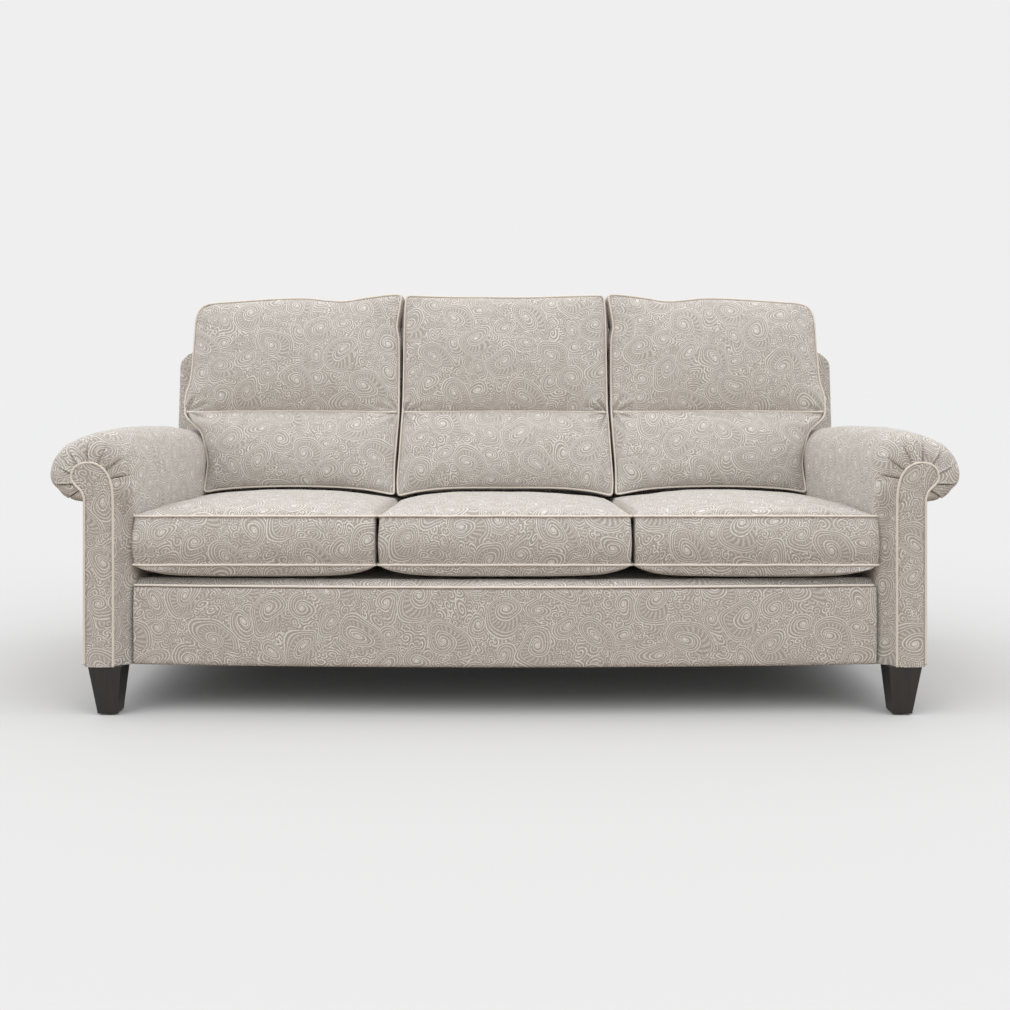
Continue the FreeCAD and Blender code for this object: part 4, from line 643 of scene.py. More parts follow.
def seat_cushion(body, low_x, high_x, seed):
    """A box cushion: crowned top, piped seams, boxing that swells, a squashed underside."""
    centre, half = (low_x + high_x) / 2, (high_x - low_x) / 2
    front, rear = -SEAT_END, SEAT_END
    corners = [(-half, front), (half, front), (half, rear), (-half, rear)]
    inward = ((0, 1), (-1, 0), (0, -1), (1, 0))
    sides = []
    for start, end, way, pull in zip(corners, corners[1:] + corners[:1], inward, SEAT_DRAWN_IN):
        line = even([start, end], 4.0)
        arch = np.sin(math.pi * np.linspace(0, 1, len(line)))[:, None]
        sides.append(line + np.array(way) * pull * arch)
    sides = softened(sides, [11, 11, 22, 22])
    # Beside the arm the front corner stands out before the arm's recessed front
    for side in sides:
        at_corner = 9.0 * np.exp(-np.maximum(side[:, 1] - front, 0) / 16.0)
        for outer, sign in ((high_x, 1), (low_x, -1)):
            if abs(outer) == SEAT_SIDE:
                side[:, 0] += sign * at_corner * smoothstep((sign * side[:, 0] / half - 0.7) / 0.3)
    across, up = clustered(92), clustered(108)
    flat = coons(sides[0], sides[1], sides[2][::-1], sides[3][::-1], across, up)
    to_room = seat_place(centre)
    shift = np.array([centre * 0.37 + seed * 61, seed * 47])

    def sunk(points):
        """How far the side seams are pressed down between the cushions, behind their front corners."""
        beside = 1 - smoothstep((half - np.abs(points[..., 0]) - 4.0) / 8.0)
        return SEAM_SUNK * beside * smoothstep((points[..., 1] - front - 4.0) / 50.0)

    # The top: the back cushions press the rear of its crown down
    dome = crown(across, up, (0.52, 2.2), (0.46, 3.0))
    pressed = 1 - 0.45 * smoothstep((up[:, None] - 0.5) / 0.36)
    full = smoothstep(dome / 0.6)
    rise = (SEAT_CROWN if centre else MIDDLE_CROWN) * dome * pressed
    rise += 3.2 * full * field(flat, 150.0, seed) + 1.2 * full * field(flat, 55.0, seed + 1)
    rise += puckers(flat, 2.4, seed + 2, (1.1, 1.1, 1, 0.4))
    for corner in corners[:2]:
        rise += corner_folds(flat, corner, 2.4, seed + 3 + corner[0] / 700)
    cloth = Cloth()
    top = to_room(with_height(flat, SEAT_TOP_SEAM + rise - sunk(flat)))
    cloth.grid(top, cloth_lie(top, flat) + shift)
    # The underside rests on the deck
    belly = crown(across, up, (0.62, 2.6), (0.27, 2.6))
    under = SEAT_LOW_SEAM - SEAT_UNDER * belly + puckers(flat, 1.5, seed + 5)
    rest = 1.0 + 0.6 * field(flat, 90.0, seed + 6)
    under = rest + 3.0 * np.log1p(np.exp(np.clip((under - rest) / 3.0, -30, 30)))
    # Under the front seam the belly hangs forward
    dropped = np.clip((SEAT_LOW_SEAM - under) / (SEAT_LOW_SEAM - 1.0), 0, 1)
    hang = flat.copy()
    hang[..., 1] -= 10.0 * np.sin(math.pi * dropped) * np.exp(-np.maximum(flat[..., 1] - front, 0) / 30.0)
    below = to_room(with_height(hang, under))
    cloth.grid(below, cloth_lie(below, flat) * np.array([1, -1]) + shift + 90, True)
    # The boxing swells most in front, and is slightly uneven
    ring = ring_of(sides, [across, up, across, up])
    normal = outward(ring)
    rows = np.linspace(0, 1, 17)
    height = SEAT_LOW_SEAM + (SEAT_TOP_SEAM - SEAT_LOW_SEAM) * rows
    lie = flat_grid(run_along(ring), height)
    swell = 1.4 + 10.0 * np.clip(-normal[:, 1], 0, 1) ** 2
    swell = bulge(rows, order=2.2)[:, None] * (
        swell + 1.7 * field(lie, (120.0, 60.0), seed + 7) + 0.9 * field(lie, (26.0, 70.0), seed + 8))
    box = with_height(ring + normal * swell[..., None], height[:, None] - sunk(ring) * rows[:, None])
    cloth.grid(to_room(box), lie + shift + np.array([seed * 13, 31]))
    edge = Cloth()
    seam = even(ring + normal * (PIPING - 0.4), 4.0)
    for z, drop in ((SEAT_LOW_SEAM, 0), (SEAT_TOP_SEAM, sunk(seam))):
        wave = 0.9 * field(with_height(seam[None], z)[0], 45.0, seed + z)
        line = np.column_stack([seam, z + wave - drop])
        line[-1] = line[0]
        piping(edge, to_room(line))
    build_cushion(body, cloth, edge)


# Back cushions: outlines over the piping, seen from the front, as across and up the rake. Then how far
# the seams are inside that, and how far the rear's edge is ahead of the back
WAIST, CORD_OUT, CUSHION_REAR = 680.0, 6.0, 17.0
RIGHT_OUTLINE = [
    [(316, 436), (420, 454), (560, 461), (700, 460), (810, 453), (873, 442)],
    [(873, 442), (866, 500), (864.5, 537), (876, 586), (890, 624.5), (914, 645), (936, 668), (938, WAIST)],
    [(938, WAIST), (939, 720), (936, 738), (925, 786), (921, 902), (920, 972), (907, 1002)],
    [(907, 1002), (887, 1008), (828, 1012), (682, 1022), (593, 1024), (534, 1018), (477, 1015), (417, 1025),
     (340, 1035), (303, 1036)],
    [(303, 1036), (311, 985), (318, 932), (311, 900), (308, 800), (307, WAIST)],
    [(307, WAIST), (312, 600), (317, 520), (316, 436)],
]
MIDDLE_SIDE_LOW = [(311, 432), (314, 480), (309, 565), (305, 640), (302, WAIST)]
MIDDLE_SIDE_HIGH = [(302, WAIST), (301, 740), (301, 900), (300, 985), (297, 1033)]


def mirrored_side(side):
    return [(-x, v) for x, v in reversed(side)]


def mirrored_outline(outline):
    """The other hand's outline, again anticlockwise from its lower left."""
    bottom, right_low, right_high, top, left_high, left_low = map(mirrored_side, outline)
    return [bottom, left_low, left_high, top, right_high, right_low]


MIDDLE_OUTLINE = [
    [(-311, 432), (-246, 447), (-150, 456), (0, 457), (150, 456), (246, 447), (311, 432)],
    MIDDLE_SIDE_LOW,
    MIDDLE_SIDE_HIGH,
    [(297, 1033), (190, 1031), (60, 1027), (-60, 1028), (-190, 1029), (-297, 1033)],
    mirrored_side(MIDDLE_SIDE_HIGH),
    mirrored_side(MIDDLE_SIDE_LOW),
]

# Folds from the ends of the waist seam: from there, and towards the middle and up, with their depth
LOW_FOLDS = (((3, -6), (34, -70), 7.0), ((14, -5), (90, -34), 4.0), ((4, -190), (22, -120), 4.5))
HIGH_FOLDS = (((2, 5), (38, 52), 8.5), ((12, 4), (80, 26), 5.5))
# The lower and the upper panel: its rise, the weights of its puckers at each seam, and its folds
BACK_PANELS = ((41.0, (1, 1, 0.5, 1.2), LOW_FOLDS), (46.0, (1, 1, 1.3, 0.8), HIGH_FOLDS))


def seam_ahead(v):
    """How far the front seam is ahead of the back."""
    return 156.0 - 40.0 * (v - 452.0) / 566.0


def back_cushion(body, outline, spreads, seed):
    """A high cushion in two stuffed panels with a piped waist.

    The outline runs anticlockwise from the lower left. Its six sides are the bottom, the lower right,
    the upper right, the top, the upper left and the lower left.
    """
    sides = softened([smooth_line(side) for side in outline], spreads)
    rim = closed(np.concatenate([side[:-1] for side in sides]))
    rim = rim - CORD_OUT * outward(rim)
    sides = cut_line(rim, [len(side) - 1 for side in sides])
    bottom, right_low, right_high, top, left_high, left_low = sides
    waist_left, waist_right = left_low[0], right_low[-1]
    middle = (waist_left + waist_right) / 2 + np.array([0.0, 3.0])
    waist = smooth_line([waist_left, middle, waist_right], 3.0)
    across, up_low, up_high = clustered(92), clustered(44), clustered(60)
    low = coons(bottom, right_low, waist, left_low[::-1], across, up_low)
    high = coons(waist, right_high, top[::-1], left_high[::-1], across, up_high)
    shift = np.array([seed * 83.0, seed * 29.0])
    deeper = 0.25 * math.sin(seed * 9)
    cloth = Cloth()
    for tag, flat, up, (crest, weights, folds) in zip((1, 2), (low, high), (up_low, up_high), BACK_PANELS):
        dome = crown(across, up, (0.5, 2.8), (0.62, 2.1))
        height = crest * dome + smoothstep(dome / 0.55) * (
            4.0 * field(flat, (170.0, 120.0), seed + tag) + 1.6 * field(flat, (60.0, 75.0), seed + tag + 0.5))
        height += puckers(flat, 3.0, seed + tag + 7, weights, 22.0, 30.0)
        for point in (waist_left, waist_right):
            height += corner_folds(flat, point, 6.0, seed + tag + point[0] / 500, 48.0, 3.2)
        for point in (bottom[0], bottom[-1], top[0], top[-1]):
            height += corner_folds(flat, point, 3.0, seed + tag + point[0] / 300, 55.0, 2.2)
        for start, end, depth in folds:
            for corner, sign in ((waist_left, -1), (waist_right, 1)):
                first, last = (corner + np.array([-sign * aside, rise]) for aside, rise in (start, end))
                height += crease(flat, first, last, depth * (1 + sign * deeper))
        points = back_place(with_height(flat, seam_ahead(flat[..., 1]) + height))
        cloth.grid(points, cloth_lie(points, flat) + shift + tag * 37)
    # The boxing swells towards the next cushion, most near the top
    shares = [across, up_low, up_high, across, up_high, up_low]
    ring = ring_of(sides, shares)
    rows = np.linspace(0, 1, 18)[:, None]
    depth = CUSHION_REAR + (seam_ahead(ring[:, 1]) - CUSHION_REAR) * rows
    lie = np.stack([np.broadcast_to(run_along(ring), depth.shape), depth], axis=-1)
    facing_in = smoothstep((330.0 - np.abs(ring[:, 0])) / 12.0)
    near_top = smoothstep((ring[:, 1] - 850) / 50) * smoothstep((1022 - ring[:, 1]) / 30)
    swell = bulge(rows, order=2.4) * (
        2.0 + (6.5 + 8.0 * near_top) * facing_in
        + 2.0 * field(lie, (110.0, 70.0), seed + 11) + 1.6 * field(lie, (24.0, 80.0), seed + 12))
    # Near its rear edge the boxing turns in
    turned_in = 10.0 * (1 - np.sqrt(1 - (0.425 * (1 - rows)) ** 2))
    walls = ring + outward(ring) * (swell - turned_in)[..., None]
    cloth.grid(back_place(with_height(walls, depth)), lie[..., ::-1] + shift + 150, True)
    # The rear lies flat on the back, with a rounded rim
    edges = cut_line(walls[0], [len(share) - 1 for share in shares])
    right, left = end_to_end(edges[1], edges[2]), end_to_end(edges[4], edges[5])
    up = run_along(right) / run_along(right)[-1]
    flat = coons_grid(edges[0], right, edges[3][::-1], left[::-1], across, up)
    points = with_height(flat, CUSHION_REAR - 16.0 * crown(across, up, (0.5, 6.0)))
    cloth.grid(back_place(points), flat + shift + 300, True)
    edge = Cloth()
    line = even(rim + outward(rim) * (PIPING - 0.6), 4.0)
    wave = 1.2 * field(line, 60.0, seed + 20)
    line = np.column_stack([line, seam_ahead(line[:, 1]) + 1.0 + wave])
    line[-1] = line[0]
    piping(edge, back_place(line))
    inset = np.array([PIPING, 0.0])
    quarters = [waist[k * len(waist) // 4] for k in (1, 2, 3)]
    belt = smooth_line([waist[0] + inset, *quarters, waist[-1] - inset], 4.0)
    belt[:, 1] += 1.1 * field(belt, 40.0, seed + 21)
    belt = np.column_stack([belt, seam_ahead(belt[:, 1]) + PIPING])
    piping(edge, back_place(belt), is_closed=False)
    build_cushion(body, cloth, edge)


# Arms, written for the right one: the middle of the roll, and outlines as across and height
HEAD_X, HEAD_Z = 965.0, 543.0
HEAD = np.array([HEAD_X, HEAD_Z])
ROLL_PROFILE = [
    (866, 543), (866.5, 570), (869, 592), (875, 613), (885, 632), (899, 647.5), (915, 656.5), (932, 660.5),
    (950, 661), (970, 657.5), (992, 650), (1006, 645), (1020, 638), (1034.6, 631), (1049, 617),
    (1063, 598), (1071, 578), (1073.5, 560), (1071, 545), (1064, 534), (1055, 526), (1041, 511),
    (1027, 503), (1013, 498.5), (999, 496.5), (988, 494.5), (980.5, 490.5),
]
FACING_OUTLINE = [
    (915, FLOOR_EDGE), (915, 300), (915.5, 480), (917, 520), (921, 543), (930, 565), (947, 581.5), (967, 588),
    (987, 586), (1004, 575), (1010.5, 554), (1001, 538), (987, 524), (981.5, 509), (980, 490),
    (980, 300), (980, FLOOR_EDGE),
]
# The pleats' first angle, the step from one to the next, and their number
PLEAT_FIRST, PLEAT_STEP, PLEATS = 10.0, 28.75, 9
# How deep the rounded front is beside the facing, low down and round the roll
LOW_DEPTH, DOME_DEPTH = 22.0, 40.0
# The facing's sides go this far back, and the outside panel starts this far behind the front
FACING_SIDES, PANEL_SET, PANEL_TOP = 28.0, 4.5, 497.0


def crest_change(depth):
    """How much the roll's crest rises or falls along the arm."""
    return np.interp(depth, [0, 40, 200, 330, 455, 650, 900], [0, 2, 4, 1, -3.5, -20, -24])


def radius_of(outline, alpha):
    """From the roll's middle to an outline, at angles from the inner side over the top."""
    away = smooth_line(outline, 1.0) - HEAD
    angles = np.degrees(np.unwrap(np.arctan2(away[:, 1], -away[:, 0])))
    return np.interp(alpha, angles, np.linalg.norm(away, axis=1))


def arm_sections():
    """Across and height of the arm's skin and of the facing's edge, from the seat up and over the roll.

    The third value is the angle round the roll, or -1 below it.
    """
    low_z = np.concatenate([np.linspace(FLOOR_EDGE, 320, 24), np.linspace(326, HEAD_Z, 44)])[:-1]
    skin_x = np.interp(low_z, [FLOOR_EDGE, 320, 430, 500, HEAD_Z], [ARM_IN, ARM_IN, 870.5, 867.5, 866])
    facing_line = smooth_line(FACING_OUTLINE, 1.0)
    rising = facing_line[:int(np.argmax(facing_line[:, 1]))]
    edge_x = np.interp(low_z, rising[:, 1], rising[:, 0])
    alpha = np.linspace(0, 254, 340)
    ray = np.stack([-np.cos(np.radians(alpha)), np.sin(np.radians(alpha))], axis=1)
    skin, edge = (
        np.concatenate([np.stack([low_x, low_z], axis=1), HEAD + ray * radius_of(outline, alpha)[:, None]])
        for low_x, outline in ((skin_x, ROLL_PROFILE), (edge_x, FACING_OUTLINE[3:-1])))
    return skin, edge, np.concatenate([np.full(len(low_z), -1.0), alpha])


def arm_cover(seed):
    """The arm's skin: inside face, roll, pleated front and the flat rear end of the roll."""
    skin, edge, turn = arm_sections()
    on_roll = turn >= 0
    run = run_along(skin)
    # Front: a quarter turn from the facing's edge to the skin
    steps = np.linspace(0, 1, 24)[:, None] * math.pi / 2
    over = np.sin(steps)
    head = smoothstep((skin[:, 1] - 505) / 60)
    head[turn > 0] = 1.0
    depth = LOW_DEPTH * (1 - head) + DOME_DEPTH * head
    set_back = 19.0 * (1 - smoothstep((skin[:, 1] - 430) / 110.0)) * ~on_roll
    front_xz = edge + (skin - edge) * over[..., None]
    front_y = (FRONT_Y + 3.0 + set_back * (0.25 + 0.75 * smoothstep(over / 0.35))
               + depth * (1 - np.cos(steps)) ** 1.4)
    # Pleats: each fold laps over the next one's start, and the cloth swells between them
    radius = np.linalg.norm(front_xz - HEAD, axis=-1)
    order, between = np.divmod((turn - PLEAT_FIRST) / PLEAT_STEP, 1.0)
    arc = np.radians(PLEAT_STEP) * radius
    swell = 0.6 * (4 * between * (1 - between)) ** 0.7 + 0.4 * between
    lapped = 4.5 * np.exp(-(1 - between) * arc / 3.0) - 9.5 * np.exp(-between * arc / 2.0)
    start_in = smoothstep((turn - PLEAT_FIRST + 7) / 6.0)
    end_in = 1 - 0.45 * smoothstep((turn - 198) / 12.0) - 0.3 * smoothstep((turn - 228) / 10.0)
    grip = smoothstep((99.0 - radius) / 30.0) * (on_roll & (order < PLEATS)) * start_in * end_in
    lift = grip * (4.2 * (swell - 0.45) + lapped * (order >= 0))
    direction = (skin - edge) / np.maximum(np.linalg.norm(skin - edge, axis=1, keepdims=True), 1e-6)
    front_xz = front_xz + direction * (over * lift)[..., None]
    front = upright(front_xz, front_y - np.cos(steps) * lift)
    # Along the arm to the rear plane of the back
    start_y = front[-1, :, 1]
    shares = np.linspace(0, 1, 62)[:, None]
    y = start_y + (rear_plane(skin[:, 1]) - 1.0 - start_y) * shares
    along = upright(np.broadcast_to(skin, y.shape + (2,)), y)
    fade = smoothstep(shares / 0.06)
    along[..., 2] += fade * crest_change(y - FRONT_Y) * smoothstep((along[..., 2] - 500) / 150.0)
    lie = np.stack([np.broadcast_to(run, y.shape), -y], axis=-1)
    uneven = fade * (2.2 * field(lie, (110.0, 150.0), seed) + 0.9 * field(lie, (40.0, 70.0), seed + 1))
    uneven = uneven * smoothstep((along[..., 2] - 330) / 60) * smoothstep((1 - shares) / 0.05)
    along[..., ::2] += left_of(skin) * uneven[..., None]
    # Cloth runs up the inside of the arm and over the roll; at the pleats it isn't squeezed but folded away
    middle = PLEAT_FIRST + (np.clip(order, -1, PLEATS - 1) + 0.5) * PLEAT_STEP
    middle_run = np.interp(middle, turn[on_roll], run[on_roll])
    ratio = np.clip(radius / np.linalg.norm(skin - HEAD, axis=1), 0.2, 1.0)
    run_front = np.where(on_roll, middle_run + (run - middle_run) * ratio, run)
    ahead = running(front[::-1], 0)[::-1] - start_y
    cloth = Cloth()
    cloth.grid(front, np.stack([ahead, run_front], axis=-1) + seed * 31)
    cloth.grid(along, lie[..., ::-1] + seed * 31)
    # Rear end of the roll
    centre = np.array([HEAD_X, 0, HEAD_Z])
    shrink = np.linspace(1, 0, 9)[:, None, None]
    cap = centre + (along[-1][on_roll] - centre) * shrink
    cap[..., 1] = rear_plane(cap[..., 2]) - 1.0 + 2.0 * (1 - shrink[..., 0] ** 2)
    return cloth.grid(cap, cap[..., [0, 2]] + seed * 31)


def facing(seed):
    """The padded scroll front of the arm, and the piping round it."""
    line = smooth_line(FACING_OUTLINE[1:-1], 3.0)
    line = even(np.concatenate([FACING_OUTLINE[:1], line, FACING_OUTLINE[-1:]]), 3.0)
    # Pair the inner edge with the outer one
    half = int(np.argmax(line[:, 1] + 0.25 * line[:, 0]))
    shares = clustered(120, 0.25)
    left, right = resample(line[:half + 1], shares), resample(line[half:][::-1], shares)
    u = clustered(17, 0.75)[None, :, None]
    flat = left[:, None] * (1 - u) + right[:, None] * u
    pad = bulge(u[..., 0], order=3.2)
    rise = 5.0 * pad ** 0.6 + 0.7 * field(flat, (50.0, 70.0), seed) * pad
    cloth = Cloth().grid(upright(flat, FRONT_Y + 4.0 - rise), flat + seed * 53)
    rows = (4.0, FACING_SIDES)
    for side, flip in ((left, False), (right, True)):
        wall = np.stack([upright(side, FRONT_Y + row) for row in rows])
        cloth.grid(wall, flat_grid(side[:, 1], rows), flip)
    line = even(line, 3.0)
    line = smooth_line((line + left_of(line) * 1.2)[::3], 3.0)
    return cloth, piping(Cloth(), upright(line, FRONT_Y + 1.2), is_closed=False, step=3.5)


def outside_arm(seed):
    """The flat outside panel under the roll, with its lower edge turned in."""
    z = np.linspace(FLOOR_EDGE, PANEL_TOP, 44)[:, None]
    share = np.linspace(0, 1, 70)
    front = FRONT_Y + PANEL_SET
    y = front + (rear_plane(z) - 2.0 - front) * share
    behind, before = 800 * share, 800 * (1 - share)
    round_off = 0.6 * np.exp(-behind / 4.0) + 5.0 * np.exp(-before / 5.0) + np.exp(-(z - FLOOR_EDGE) / 4.0)
    flat = np.stack([y, np.broadcast_to(z, y.shape)], axis=-1)
    x = ARM_OUT + (BACK_HALF - ARM_OUT) * np.clip((y - front) / (BACK_FOOT - front), 0, 1)
    x += 2.0 - round_off + 1.2 * field(flat, (160.0, 120.0), seed) * smoothstep(behind / 60.0)
    points = np.concatenate([x[..., None], flat], axis=-1)
    cloth = Cloth().grid(points, flat + seed * 71)
    return cloth.grid(np.stack([points[0], points[0] - np.array([4.0, 0.0, 0.0])]), flat[:2])


# Seat front: the border's top, how far it is bowed and set back, and its section from below as height
# over its lower edge and distance behind its face; then the deck's section behind the piping
BORDER_TOP = 296.0
BOW, BORDER_SET = 30.0, 22.0
BORDER_FOOT = ((6, 40.0), (1, 12.0), (0, 7.0), (1.5, 2.6), (5, 0.7), (10, 0.0))
CORD_HEIGHT = 300.2
DECK_SECTION = [(3, 298.5), (13, 299.5), (21, 302), (28, 307), (36, 311), (46, 311.5), (65, 308),
                (110, 304.5), (200, 302), (420, 297), (740, 286)]


def bow_y(x):
    return FRONT_Y + BORDER_SET - BOW * (1 - (x / ARM_IN) ** 2)


def seat_front():
    """The padded border, the piping along its top, and the deck: a soft nose, then a slope to the back."""
    x = np.linspace(-ARM_IN + 0.5, ARM_IN - 0.5, 300)
    rows = [(FLOOR_EDGE + rise, behind) for rise, behind in BORDER_FOOT]
    rows += [(z, 0.0) for z in np.linspace(FLOOR_EDGE + 16, BORDER_TOP - 6, 26)] + [(BORDER_TOP, 1.5)]
    z, behind = np.array(rows).T
    flat = flat_grid(x, z)
    pad = bulge((z - FLOOR_EDGE) / (BORDER_TOP - FLOOR_EDGE))[:, None]
    y = bow_y(x) + behind[:, None] + (1.2 * field(flat, (140.0, 90.0), 31) - 2.5) * pad
    Cloth().grid(upright(flat, y), flat + 410).build("front_border_cover", "front_border")
    x_cord = x[::2]
    height = CORD_HEIGHT + 0.6 * field(flat[0][::2], 60.0, 5)
    edge = piping(Cloth(), np.stack([x_cord, bow_y(x_cord) + 1.0, height], axis=1), is_closed=False)
    edge.build("front_border_cord", "front_border_piping", slot="piping")
    section = smooth_line(DECK_SECTION, 2.5)
    behind, height = section[:, :1], section[:, 1:]
    reach = run_along(section)
    lie = flat_grid(x, reach)
    nose = smoothstep((reach - 4) / 20) * (1 - smoothstep((reach - 90) / 80))
    hold = 1 - smoothstep(behind / 300.0)
    y = bow_y(x) * hold + (FRONT_Y + 8) * (1 - hold) + behind
    z = height + 1.4 * nose[:, None] * field(lie, (55.0, 90.0), 33)
    deck = Cloth().grid(np.stack([lie[..., 0], y, z], axis=-1), lie + 230)
    deck.build("seat_deck_cover", "seat_platform", "seat_insulator")


# The back: its top up the rake, its cut corners, and how far its front is padded at the edges
BACK_TOP, BACK_CORNER, BACK_ROUND = 876.0, 30.0, 7.0
# The outside panel lies this far inside the rear of the back
OUTSIDE_SET = 4.0


def back_face(half, low, side_top, top, spread, rows):
    """A face of the back with cut and softened upper corners: its grid, its ring and its crown."""
    corners = [(-half, low), (half, low), (half, side_top), (half - BACK_CORNER, top),
               (BACK_CORNER - half, top), (-half, side_top)]
    sides = softened(list(zip(corners, corners[1:] + corners[:1])), [spread, spread, 9, 9, 9, 9])
    bottom, top_side = sides[0], sides[3]
    right, left = end_to_end(sides[1], sides[2]), end_to_end(sides[4], sides[5])
    across, up = clustered(120, 0.8), clustered(rows, 0.8)
    flat = coons(bottom, right, top_side[::-1], left[::-1], across, up)
    ring = ring_of([bottom, right, top_side, left], [across, up, across, up])
    return flat, ring, crown(across, up, (0.5, 8.0))


def back_shell():
    """The padded front, sides and top over the back's frame."""
    flat, ring, dome = back_face(BACK_HALF - 3.0, 270.0, BACK_TOP - BACK_CORNER, BACK_TOP, 3, 60)
    puff = BACK_ROUND * (dome - 1) + 1.2 * field(flat, 160.0, 51)
    cloth = Cloth().grid(back_place(with_height(flat, puff)), flat + 500)
    rows = np.linspace(0, 1, 14)
    ahead = -BACK_ROUND - (BACK_THICK - 2 * BACK_ROUND) * rows
    lie = flat_grid(run_along(ring), ahead)
    swell = bulge(rows, order=4.0)[:, None] * (3.0 + 1.3 * field(lie, (120.0, 60.0), 52))
    box = with_height(ring + outward(ring) * swell[..., None], ahead[:, None])
    box[0, :, 2] = -BACK_ROUND + 1.2 * field(ring, 160.0, 51)
    return cloth.grid(back_place(box), lie + 777, True)


def outside_back():
    """The outside back panel, sewn in flat."""
    low = (FLOOR_EDGE + 1.0) / math.cos(RAKE) + 11.5
    flat, ring, dome = back_face(BACK_HALF - 5.0, low, BACK_TOP - BACK_CORNER - 1, BACK_TOP - 2, 4, 70)
    plane = OUTSIDE_SET - BACK_THICK
    puff = plane - 3.5 * dome - field(flat, 220.0, 61)
    cloth = Cloth().grid(back_place(with_height(flat, puff)), flat * np.array([-1, 1]) + 90, True)
    rim = np.stack([plane - field(ring, 220.0, 61), np.full(len(ring), plane + 10.0)])
    lie = flat_grid(run_along(ring), [0.0, 10.0])
    return cloth.grid(back_place(with_height(np.stack([ring, ring]), rim)), lie)


# Pieces
near, far = SEAT_SPLIT - PIPING - SEAT_PLAY, SEAT_SPLIT + PIPING + SEAT_PLAY
seat_cushion("seat_cushion_left", -SEAT_SIDE, -far, 1.0)
seat_cushion("seat_cushion_centre", -near, near, 2.0)
seat_cushion("seat_cushion_right", far, SEAT_SIDE, 3.0)
back_cushion("back_cushion_left", mirrored_outline(RIGHT_OUTLINE), [9, 9, 8, 10, 24, 8], 4.0)
back_cushion("back_cushion_centre", MIDDLE_OUTLINE, [9, 9, 8, 10, 10, 8], 5.0)
back_cushion("back_cushion_right", RIGHT_OUTLINE, [9, 9, 8, 24, 10, 8], 6.0)
for side, mirrored, seed in (("left", True, 7.0), ("right", False, 8.0)):
    skin = arm_cover(seed).build(f"arm_{side}_cloth", f"arm_cover_{side}", f"arm_pad_{side}",
                                 mirrored=mirrored, folded=True)
    front, cord = facing(seed)
    front.build(f"arm_{side}_facing", f"arm_facing_{side}", mirrored=mirrored)
    cord.build(f"arm_{side}_facing_cord", f"arm_facing_piping_{side}", slot="piping", mirrored=mirrored)
    outside_arm(seed).build(f"arm_{side}_outside", f"outside_arm_panel_{side}", mirrored=mirrored)
seat_front()
back_shell().build("back_shell_cover", "back_cover", "inside_back_pad")
outside_back().build("outside_back_cover", "outside_back_panel")

# Finishes of the frame's own nodes
FINISHES = {
    "leg_glides": GLIDE, "leg_bolts": STEEL, "seat_springs": STEEL, "spring_clips": STEEL, "dust_cover": DUST,
    "back_webbing": WEBBING,
}
for label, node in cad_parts.items():
    if node.hide_render:
        continue
    is_leg = "_leg_" in label
    node.data.materials.clear()
    node.data.materials.append(LEG_WOOD if is_leg else FINISHES.get(label, FRAME_WOOD))
    if is_leg:
        bevel = node.modifiers.new("eased edges", "BEVEL")
        bevel.width, bevel.segments = 2.2 * MM, 3
        bevel.limit_method = "ANGLE"

# Room, light and camera: half the floor's size in metres, and its colour as the camera sees it and as
# it lights the sofa; the strength of the world's light and of the backdrop
FLOOR_HALF = 60.0
FLOOR_SEEN, FLOOR_LIT = (0.627, 0.627, 0.628, 1), (0.26, 0.205, 0.158, 1)
WORLD_LIGHT, BACKDROP = 0.88, 0.863
# Each light's name, the way to it across and in depth, and its strength; then the rise and the spread of both
SOFTBOXES = (("left softbox", -0.66, -0.24, 1.10), ("right softbox", 0.66, -0.24, 1.10))
SOFTBOX_RISE, SOFTBOX_SPREAD = 0.71, math.radians(60)
# The camera is this far before the sofa, in millimetres, and this high, in metres
CAMERA_AWAY, CAMERA_HEIGHT = 2500.0, 0.773


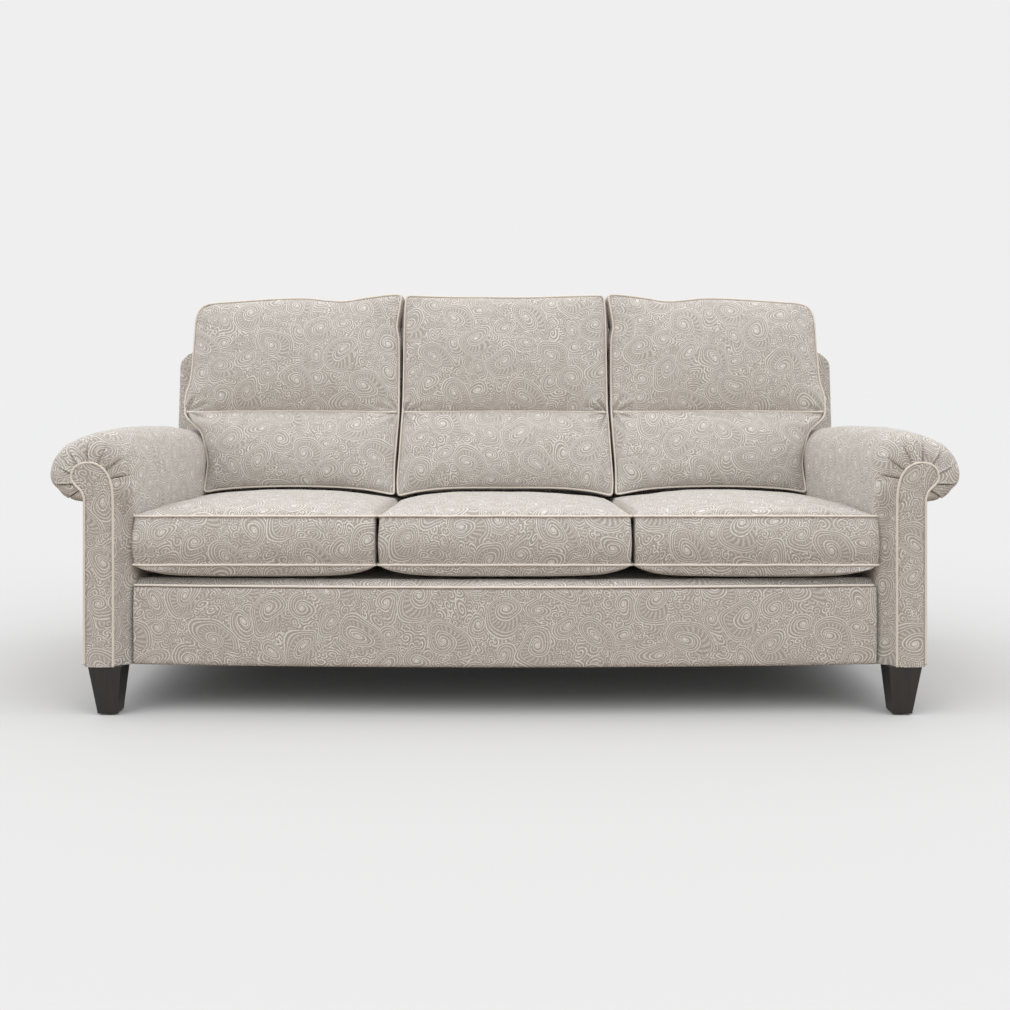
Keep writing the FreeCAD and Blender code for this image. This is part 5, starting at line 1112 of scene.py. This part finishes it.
def seen_rays(r):
    """1 for what the camera sees, directly, mirrored or through glass."""
    path = r.node("ShaderNodeLightPath").outputs
    camera_ray, glossy, through = (Value(r, path[f"Is {kind} Ray"])
                                   for kind in ("Camera", "Glossy", "Transmission"))
    return r.math("MAXIMUM", camera_ray, r.math("MAXIMUM", glossy, through))


def room():
    """The floor and the backdrop, which light the sofa and are seen behind it."""
    mesh = bpy.data.meshes.new("floor")
    corners = [(x * FLOOR_HALF, y * FLOOR_HALF, 0) for x, y in ((-1, -1), (1, -1), (1, 1), (-1, 1))]
    mesh.from_pydata(corners, [], [(0, 1, 2, 3)])
    floor = bpy.data.objects.new("floor", mesh)
    bpy.context.scene.collection.objects.link(floor)
    material, r, shader = new_material("floor_paper", Roughness=0.95, Specular_IOR_Level=0.0)
    r.feed(shader.inputs["Base Color"], r.tint(seen_rays(r), FLOOR_LIT, FLOOR_SEEN))
    mesh.materials.append(material)
    world = bpy.data.worlds.new("studio")
    bpy.context.scene.world = world
    world.use_nodes = True
    r = Recipe(world.node_tree)
    background = world.node_tree.nodes["Background"]
    background.inputs["Color"].default_value = (1, 1, 1, 1)
    r.feed(background.inputs["Strength"], r.mix(seen_rays(r), WORLD_LIGHT, BACKDROP))


room()
for label, towards_x, towards_y, strength in SOFTBOXES:
    sun = bpy.data.lights.new(label, "SUN")
    sun.energy = strength
    sun.angle = SOFTBOX_SPREAD
    lamp = bpy.data.objects.new(label, sun)
    lamp.rotation_euler = Vector((towards_x, towards_y, SOFTBOX_RISE)).to_track_quat("Z", "Y").to_euler()
    bpy.context.scene.collection.objects.link(lamp)

camera_data = bpy.data.cameras.new("camera")
camera_data.lens = 38.246
camera_data.sensor_width = 36.0
camera_data.shift_y = -0.1198
camera = bpy.data.objects.new("camera", camera_data)
camera.location = (0, (FRONT_Y - CAMERA_AWAY) * MM, CAMERA_HEIGHT)
camera.rotation_euler = (math.radians(90), 0, 0)
bpy.context.scene.collection.objects.link(camera)
bpy.context.scene.camera = camera
bpy.context.scene.view_settings.view_transform = "Standard"
